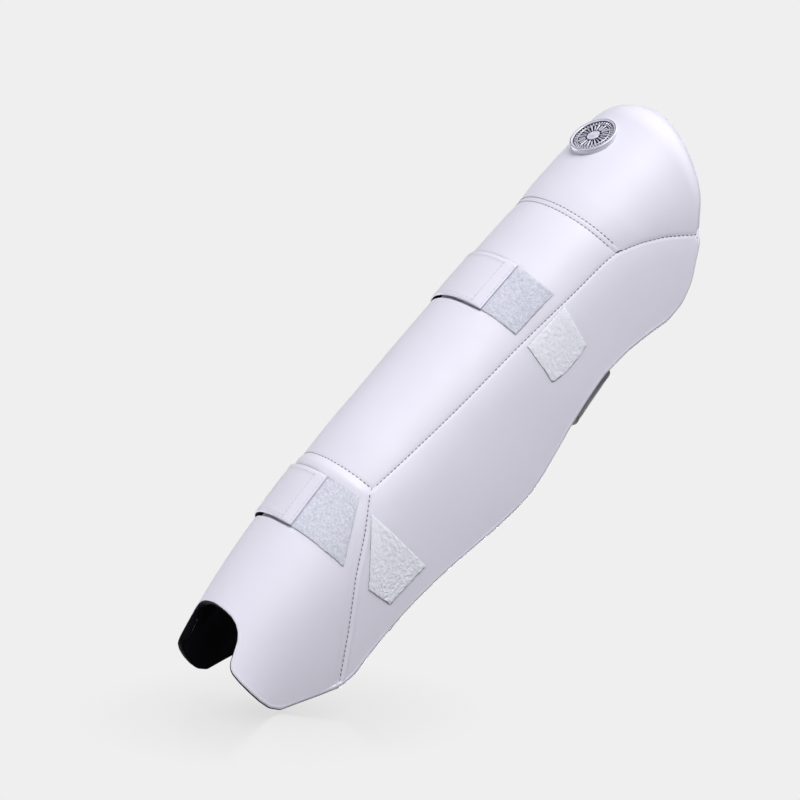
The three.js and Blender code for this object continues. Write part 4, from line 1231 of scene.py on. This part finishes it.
def strap_part(name, ribbon, start, end, mat, half=STRAP_HALF, thick=STRAP_THICK, lift=0.0,
               hemmed=False, round_end=False):
    """a length of strap; a hemmed one has raised hems, a dark lining on its inner face and painted
    shade on the inner half of both edges
    """
    inside = ribbon.run[(ribbon.run > start + 0.3) & (ribbon.run < end - 0.3)]
    run = np.concatenate([[start], inside, [end]])
    centre, out, up = stations(ribbon, run)
    face = thick / 2
    x = np.linspace(-1, 1, FACE_POINTS) * (half - face * 0.9)
    height = np.full(FACE_POINTS, face)
    if hemmed:
        inset = half - np.abs(x)
        height = (face + 0.22 - 0.30 * smooth((inset - 5.2) / 1.2)
                  + 0.35 * (1 - (x / half) ** 2) * smooth((inset - 6) / 6)
                  - 0.22 * bell(inset - 4.2, 0.6))
    edge = np.array([(half - face * 0.35, face * 0.72), (half, 0.0),
                     (half - face * 0.35, -face * 0.72)])
    back = x[::-3]
    ring = np.concatenate([np.stack([x, height], 1), edge,
                           np.stack([back, np.full(len(back), -face)], 1), edge[::-1] * [-1, 1]])
    taper = np.ones(len(run))
    if round_end:
        taper = 1 - 0.02 * (1 - smooth(np.minimum(run - start, 4) / 4))
    rings = (centre[:, None] + up[:, None] * (taper[:, None] * ring[:, 0])[..., None]
             + out[:, None] * (ring[:, 1] + lift)[:, None])
    uv = np.stack(np.broadcast_arrays(run[:, None] / 100, ring[:, 0] / 100), -1)
    piece = sweep(name, rings, uv, mats=[mat, BLACK_BACKING_AND_SHADE], sharp=60)
    if hemmed:
        size = len(ring)
        j = np.arange((len(run) - 1) * size) % size
        # inner face and the inner half of both edges are black; on the edges this is painted shade
        # of the gap under the strap
        second_material(piece, (j >= FACE_POINTS + 1) & (j <= size - 3))
    return piece


def strap_stitches(ribbon, run, across, lift):
    run, across = np.broadcast_arrays(run, across)
    centre, out, up = stations(ribbon, run)
    stitch_row(centre + up * across[:, None] + out * lift, out,
               pitch=4.2, gap=1.2, radius=0.27, lift=0.0)


def sew_edges(ribbon, start, end, inset):
    run = np.linspace(start, end, max(3, int((end - start) / 1.5)))
    for across in (inset - STRAP_HALF, STRAP_HALF - inset):
        strap_stitches(ribbon, run, across, STRAP_THICK / 2 + 0.05)


def sew_across(ribbon, run, lift, inset=2):
    half = STRAP_HALF - inset
    strap_stitches(ribbon, run, np.linspace(-half, half, 40), lift)


def bend_at(piece, ribbon, run, reach):
    """bakes the piece's transform into its mesh; the bend's ends about the fold line are found but
    not used, so the piece does not bend
    """
    start, end = (along(ribbon.run, ribbon.centre, run + step) * MM for step in (-reach, reach))
    start[2] = end[2] = (start[2] + end[2]) / 2
    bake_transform(piece)


def dress_strap(name, strap):
    ribbon = strap.ribbon = make_ribbon(strap)
    face = STRAP_THICK / 2
    side_cut = (ribbon.fold + ribbon.rear) / 2 + 6  # straight cut on the inner wing
    calf_cut = (ribbon.inner + ribbon.outer) / 2  # and behind the calf
    front, side, calf = (f"{name}_{part}" for part in ("front", "side", "calf"))
    # part, start, end, run and reach of its bend, bodies, slot, CAD nodes
    for part, start, end, bend, reach, bodies, slot, replaced in (
            ("front", 0.0, side_cut, ribbon.fold, 9.0, (front, side), "strap_cover",
             ["_front_strap"]),
            ("side", side_cut + 0.05, calf_cut, ribbon.inner, 12, (side, calf), "strap_cover",
             ["_side_strap"]),
            ("calf", calf_cut + 0.05, ribbon.total, ribbon.outer, 8, (calf, "shell"),
             "strap_webbing", ["_calf_strap", "_strap_anchor"])):
        hemmed = part != "calf"
        piece = strap_part(f"{name}_strap_{part}", ribbon, start, end,
                           STRAP if hemmed else WEBBING, hemmed=hemmed,
                           round_end=part == "front")
        bend_at(piece, ribbon, bend, reach)
        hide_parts(*(name + node for node in replaced))
    strip = strap_part(name + "_tip_strip", ribbon, 0.0, 10.8, BINDING, half=STRAP_HALF - 0.1,
                       thick=0.9, lift=face + 0.55)
    place(strip, front, "edge_binding", name + "_strap_tip")
    hooks = strap_part(name + "_hook_pile", ribbon, 3.0, 38.0, HOOK, half=STRAP_HALF - 3,
                       thick=0.7, lift=-face - 0.35)
    place(hooks, front, "hook_tape", name + "_hook_tape")
    # sewing along both edges, across the end strip and on both sides of the cuts
    sew_edges(ribbon, 12.5, ribbon.fold - 10, inset=4.2)
    sew_across(ribbon, 12.4, face + 0.32)
    sew_across(ribbon, 2.0, face + 1.02, inset=2.2)
    sew(name + "_front_threads", PALE_THREAD, front, "strap_cover")
    sew_edges(ribbon, ribbon.fold + 10, ribbon.inner - 13, inset=4.2)
    sew_across(ribbon, side_cut - 2.5, face + 0.32)
    sew_across(ribbon, side_cut + 2.5, face + 0.32)
    sew(name + "_side_threads", PALE_THREAD, side, "strap_cover")
    sew_edges(ribbon, ribbon.inner + 13, ribbon.outer - 9, inset=2.5)
    sew_across(ribbon, calf_cut + 2.5, face + 0.1)
    sew_across(ribbon, calf_cut - 2.5, face + 0.32)
    sew(name + "_calf_threads", DARK_THREAD, calf, "strap_webbing")
    sew_across(ribbon, ribbon.total - 3, -face - 0.02)
    sew_across(ribbon, ribbon.total - 3, face + 0.08)
    sew(name + "_anchor_threads", DARK_THREAD, "shell", "strap_webbing")


for name, strap in STRAPS.items():
    dress_strap(name, strap)


# ---------------------------------------------------------------- leg cushions
CUSHION_FRONT = -16.4  # height of the cushions' front before they are blown up


def apply_modifiers(piece):
    graph = bpy.context.evaluated_depsgraph_get()
    mesh = bpy.data.meshes.new_from_object(piece.evaluated_get(graph))
    old = piece.data
    piece.modifiers.clear()
    piece.data = mesh
    bpy.data.meshes.remove(old)


def get_points(piece):
    flat = np.zeros(len(piece.data.vertices) * 3, np.float32)
    piece.data.vertices.foreach_get("co", flat)
    return flat.reshape(-1, 3).astype(float) / MM


def set_points(piece, points):
    piece.data.vertices.foreach_set("co", np.asarray(points * MM, np.float32).reshape(-1))
    piece.data.update()


def blow_up(piece, cap):
    """short cloth simulation under pressure; no point moves further than cap"""
    rest = get_points(piece)
    cloth = piece.modifiers.new("cloth", "CLOTH")
    settings = cloth.settings
    settings.quality, settings.mass = 4, 0.25
    settings.tension_stiffness = settings.compression_stiffness = 22
    settings.bending_stiffness = 1.2
    settings.use_pressure, settings.uniform_pressure_force = True, 4.0
    settings.effector_weights.gravity = 0
    cloth.point_cache.frame_start, cloth.point_cache.frame_end = 1, 20
    cloth.collision_settings.use_collision = False
    for frame in range(1, 21):
        bpy.context.scene.frame_set(frame)
    apply_modifiers(piece)
    bpy.context.scene.frame_set(1)
    move = get_points(piece) - rest
    length = np.linalg.norm(move, axis=1, keepdims=True)
    set_points(piece, rest + move * np.minimum(1, cap / np.maximum(length, 1e-6)))


def puffed(name, front, back, cap, voxel=5.0):
    """soft body between two grids of points: remeshed, blown up, smoothed"""
    piece = make(name, *closed_sheet(front, back), mats=[CUSHION], sharp=0)
    remesh = piece.modifiers.new("remesh", "REMESH")
    remesh.mode, remesh.voxel_size, remesh.use_smooth_shade = "VOXEL", voxel * MM, True
    apply_modifiers(piece)
    blow_up(piece, cap)
    if not piece.data.materials:  # in case remeshing drops the material
        piece.data.materials.append(CUSHION)
    smoothing = piece.modifiers.new("sub", "SUBSURF")
    smoothing.levels = smoothing.render_levels = 1
    apply_modifiers(piece)
    piece.data.polygons.foreach_set("use_smooth", np.ones(len(piece.data.polygons), bool))
    return piece


def shell_place(points):
    """arc of points inside the shell, and their depth below the outer surface"""
    arcs = np.linspace(-150, 150, 121)
    z = points[:, 2]
    levels = np.linspace(z.min() - 1, z.max() + 1, 9)
    grid = surface(arcs[:, None], levels[None, :])[..., :2]
    t = np.clip((z - levels[0]) / (levels[1] - levels[0]), 0, len(levels) - 1.001)
    i = t.astype(int)
    part = (t - i)[:, None]
    line = grid[:, i] * (1 - part) + grid[:, i + 1] * part
    distance = np.linalg.norm(line - points[None, :, :2], axis=2)
    return arcs[distance.argmin(0)], distance.min(0)


def keep_clear(points, limit=15.2):
    """pushes a cushion's front back to the lining"""
    arc, depth = shell_place(points)
    return points - normal(arc, points[:, 2]) * np.clip(limit - depth, 0, None)[:, None]


def grooves(x, centres, width):
    return sum(bell(x - centre, width) for centre in centres)


def cushion(panel, half, low, high, face_y, upright=(), level=()):
    """cushion with a flat face towards the leg; upright and level: x and z of its channels"""
    u, v = unit_grid(14, 26)
    arc, z = -half + 2 * half * u, low + (high - low) * v
    front = point(arc, z, CUSHION_FRONT)
    back = np.stack([front[..., 0] * 0.97, np.full_like(z, face_y - 3.2), z], -1)
    piece = puffed(panel + "_cushion_soft", front, back, cap=5.0)
    points = get_points(piece)
    x, y, z = points.T
    dent = grooves(x, upright, 2.3) + grooves(z, level, 2.3)
    points[:, 1] -= 3.4 * smooth((y - (face_y - 9)) / 7) * np.clip(dent, 0, 1)
    points = keep_clear(points)
    points[:, 1] = np.minimum(points[:, 1], face_y + 0.4)
    set_points(piece, points)
    place(piece, "shell", "leg_cushion", panel + "_cushion")


def bolster(name, start, end, low, high, depth):
    """long cushion inside a wing, between two arcs, with level channels"""
    u, v = unit_grid(10, 30)
    arc, z = start + (end - start) * u, low + (high - low) * v
    full = 0.35 + 0.65 * np.sin(np.pi * u) ** 0.8
    full = full * (0.55 + 0.45 * smooth(np.minimum(v, 1 - v) * (high - low) / 14))
    piece = puffed(name + "_soft", point(arc, z, CUSHION_FRONT),
                   point(arc, z, CUSHION_FRONT - (depth - 3) * full), cap=3.5, voxel=4.5)
    points = get_points(piece)
    arc, below = shell_place(points)
    z = points[:, 2]
    dent = grooves(z, np.arange(low + 38, high - 20, 38), 2.4)
    points += normal(arc, z) * (2.8 * smooth((below - 19) / 6) * dent)[:, None]
    set_points(piece, keep_clear(points))
    place(piece, "shell", "leg_cushion", name)


def calf_pad(name, strap):
    """cushion sewn to the inside of a strap behind the calf"""
    ribbon = strap.ribbon
    inside = (ribbon.run > ribbon.inner + 4) & (ribbon.run < ribbon.outer - 4)
    centre = ribbon.centre[inside]
    centre = centre[np.argsort(centre[:, 0])]
    left, right, face_y = strap.pad_x[0] + 1.5, strap.pad_x[1] - 1.5, strap.pad_y
    middle_z = float(np.interp((left + right) / 2, centre[:, 0], centre[:, 2]))

    def strap_y(x, z, gap):
        """y at a gap before the strap's middle layer"""
        return (np.interp(x, centre[:, 0], centre[:, 1]) - gap
                - strap.lean * np.clip(z - middle_z, 0, None))

    u, v = unit_grid(24, 16)
    x, z = left + (right - left) * u, middle_z + (-27.5 + 55 * v)
    piece = puffed(name + "_calf_pad", np.stack([x, np.full_like(x, face_y + 2.2), z], -1),
                   np.stack([x, strap_y(x, z, STRAP_THICK * 0.55 + 1.2), z], -1),
                   cap=3.0, voxel=4.0)
    points = get_points(piece)
    x, y, z = points.T
    limit = strap_y(x, z, STRAP_THICK * 0.5 + 0.45)
    y = np.minimum(np.maximum(y, face_y - 0.3), limit)
    front = 1 - smooth((y - face_y - 0.5) / 5)
    channels = [left + (right - left) * t for t in (0.27, 0.5, 0.73)]
    points[:, 1] = np.minimum(y + 2.6 * front * grooves(x, channels, 2.2), limit)
    set_points(piece, points)
    place(piece, name + "_calf", "leg_cushion", name + "_calf_cushion")


cushion("shin", 35, 228, 454, face_y=-44, upright=(-17, 0, 17))
cushion("knee", 29, 502, 570, face_y=-46, level=(525, 548))
cushion("instep", 25, 100, 182, face_y=-45, upright=(-12, 12))
for wing, side in SIDES:
    bolster(wing + "_shin_bolster", side * 55, side * 91, 228, 450, depth=14)
    bolster(wing + "_knee_bolster", side * 47, side * 87, 502, 564, depth=13)
for name, strap in STRAPS.items():
    calf_pad(name, strap)

# ---------------------------------------------------------------- camera
AZIMUTH, ELEVATION, TILT = (math.radians(v) for v in (55.276, -14.446, 40.277))
DISTANCE = 2509.74
AIM_RIGHT, AIM_UP = 78.9665, -14.48707  # place of CENTRE in the view, from the view's axis
CENTRE = np.array([0, 30.0, 329.0])
level_right = np.array([math.cos(AZIMUTH), math.sin(AZIMUTH), 0])
VIEW_BACK = np.array([math.sin(AZIMUTH) * math.cos(ELEVATION),
                      -math.cos(AZIMUTH) * math.cos(ELEVATION), math.sin(ELEVATION)])
level_up = np.array([-math.sin(AZIMUTH) * math.sin(ELEVATION),
                     math.cos(AZIMUTH) * math.sin(ELEVATION), math.cos(ELEVATION)])
VIEW_RIGHT = math.cos(TILT) * level_right + math.sin(TILT) * level_up
VIEW_UP = -math.sin(TILT) * level_right + math.cos(TILT) * level_up
eye = CENTRE + VIEW_BACK * DISTANCE - VIEW_RIGHT * AIM_RIGHT - VIEW_UP * AIM_UP

scene = bpy.context.scene
camera = bpy.data.objects.new("photo_camera", bpy.data.cameras.new("photo_camera"))
scene.collection.objects.link(camera)
camera.data.sensor_width = 36
camera.data.lens = 130.712175
camera.data.clip_start, camera.data.clip_end = 0.05, 60
camera.matrix_world = Matrix([
    [VIEW_RIGHT[k], VIEW_UP[k], VIEW_BACK[k], eye[k] * MM] for k in range(3)] + [[0, 0, 0, 1]])
scene.camera = camera
scene.view_settings.view_transform = "Standard"
scene.view_settings.look = "None"

# ---------------------------------------------------------------- world and lights
PAPER = 0.863  # brightness of the pale background
FLOOR_LIT = 0.33  # what the lamps add to the level floor
AMBIENT = (0.065, 0.245)  # strength from below and from above in the view
LIGHTS = [  # name, direction as (right, up, back) in the view, W/m2, width in degrees, colour
    ("key", (0.14, 0.71, 0.69), 2.64, 38, (1.0, 0.985, 0.99)),
    ("left_fill", (-0.80, 0.35, 0.50), 0.50, 40, (1.0, 0.99, 1.0)),
    ("right_top", (0.74, 0.67, -0.04), 1.22, 40, (1.0, 0.99, 1.0)),
    ("left_rim", (-0.75, -0.30, -0.60), 2.0, 40, (1.0, 0.99, 1.0)),
    ("behind", (0.15, -0.30, -0.94), 1.5, 20, (1.0, 0.99, 1.0)),
]


def build_world():
    """plain background for the camera, soft light that grows upwards for the pad"""
    world = bpy.data.worlds.new("studio")
    scene.world = world
    world.use_nodes = True
    graph = Graph(world.node_tree)
    graph.tree.nodes.clear()
    output = graph.node("ShaderNodeOutputWorld")
    path = graph.node("ShaderNodeLightPath").outputs
    seen = graph.node("ShaderNodeBackground", {"Color": (PAPER,) * 3})
    direction = graph.node("ShaderNodeTexCoord").outputs["Generated"]
    rise = graph.vector_math("DOT_PRODUCT", direction, VIEW_UP)
    ambient = graph.node("ShaderNodeBackground", {
        "Color": (0.92, 0.935, 1.0), "Strength": graph.remap(rise, span=(-1, 1), to=AMBIENT)})
    either = graph.math("MAXIMUM", path["Is Camera Ray"], path["Is Transmission Ray"])
    mixed = graph.mix_shader(either, ambient.outputs[0], seen.outputs[0])
    graph.put(output.inputs["Surface"], mixed)


def lamp(name, direction, strength, width, color):
    """broad soft light from far away"""
    light = bpy.data.lights.new(name, "SUN")
    light.energy, light.angle, light.color = strength, math.radians(width), color
    sun = bpy.data.objects.new(name, light)
    scene.collection.objects.link(sun)
    right, up, back = direction
    way = Vector(VIEW_RIGHT * right + VIEW_UP * up + VIEW_BACK * back).normalized()
    sun.location = Vector((0, 0, 0.33)) + way * 2.5
    sun.rotation_mode = "QUATERNION"
    sun.rotation_quaternion = (-way).to_track_quat("-Z", "Y")


build_world()
for light in LIGHTS:
    lamp(*light)

# ---------------------------------------------------------------- floors
SHEET_TILT = math.radians(9)  # of the sheet under the pad's lowest edge in the view
sheet_up = VIEW_UP * math.cos(SHEET_TILT) + VIEW_BACK * math.sin(SHEET_TILT)
sheet_across = np.cross(sheet_up, VIEW_RIGHT)
edge_points = np.concatenate([
    point(bottom_line[:, 0], bottom_line[:, 1], height) for height in (0.0, -3.0, -6.5)])
TIP = edge_points[int(np.argmin(edge_points @ sheet_up))]


def glow(m, brightness):
    return m.node("ShaderNodeEmission", {"Color": (brightness,) * 3}).outputs[0]


def sheet_surface(m, geometry, is_camera):
    """glowing paper with a faint gloss near the pad's tip, seen only from about the camera"""
    body = glow(m, PAPER)
    gloss = m.node("ShaderNodeBsdfGlossy", {"Roughness": 0.16, "Color": (1, 1, 1)})
    distance = m.vector_math("DISTANCE", geometry["Position"], TIP * MM)
    amount = m.ramp(m.remap(distance, span=(0.0, 0.17)), (0.0, 0.22), (0.35, 0.10), (1.0, 0.0))
    surface_out = m.mix_shader(amount, body, gloss.outputs[0])
    look = m.vector_math("DOT_PRODUCT", geometry["Incoming"], VIEW_BACK)
    in_view = m.math("GREATER_THAN", look, math.cos(math.radians(14)))
    return surface_out, m.math("MULTIPLY", in_view, is_camera)


def level_surface(m, geometry, is_camera):
    """matt floor that takes shadows and fades into plain paper"""
    color = m.mix(m.remap(m.noise(30)), (0.44, 0.44, 0.44), (0.45, 0.45, 0.45))
    matt = m.node("ShaderNodeBsdfDiffuse", {"Color": color})
    lift = glow(m, PAPER - FLOOR_LIT)
    body = m.node("ShaderNodeAddShader", {0: matt.outputs[0], 1: lift}).outputs[0]
    paper = glow(m, PAPER)
    distance = m.vector_math("DISTANCE", geometry["Position"], (0.0, 0.0, 0.0))
    return m.mix_shader(m.remap(distance, span=(0.25, 1.1)), body, paper), is_camera


def floor(name, start, along_x, along_y, build_surface):
    """pale sheet seen by the camera only, from its front side"""
    corners = np.array([start, start + along_x, start + along_x + along_y, start + along_y])
    piece = make(name, corners, [np.array([[0, 1, 2, 3]])], sharp=0, recalc=False)
    m = Mat(name)
    geometry = m.node("ShaderNodeNewGeometry").outputs
    is_camera = m.node("ShaderNodeLightPath").outputs["Is Camera Ray"]
    clear = m.node("ShaderNodeBsdfTransparent")
    surface_out, seen = build_surface(m, geometry, is_camera)
    show = m.math("MULTIPLY", seen, m.math("SUBTRACT", 1.0, geometry["Backfacing"]))
    m.put(m.output.inputs["Surface"], m.mix_shader(show, clear.outputs[0], surface_out))
    piece.data.materials.append(m.material)


floor("photo_floor", TIP - sheet_up * 0.4 - VIEW_RIGHT * 900 - sheet_across * 900,
      VIEW_RIGHT * 1800, sheet_across * 1800, sheet_surface)
floor("level_floor", np.array([-3000.0, -3000.0, -1.0]), np.array([6000.0, 0, 0]),
      np.array([0, 6000.0, 0]), level_surface)
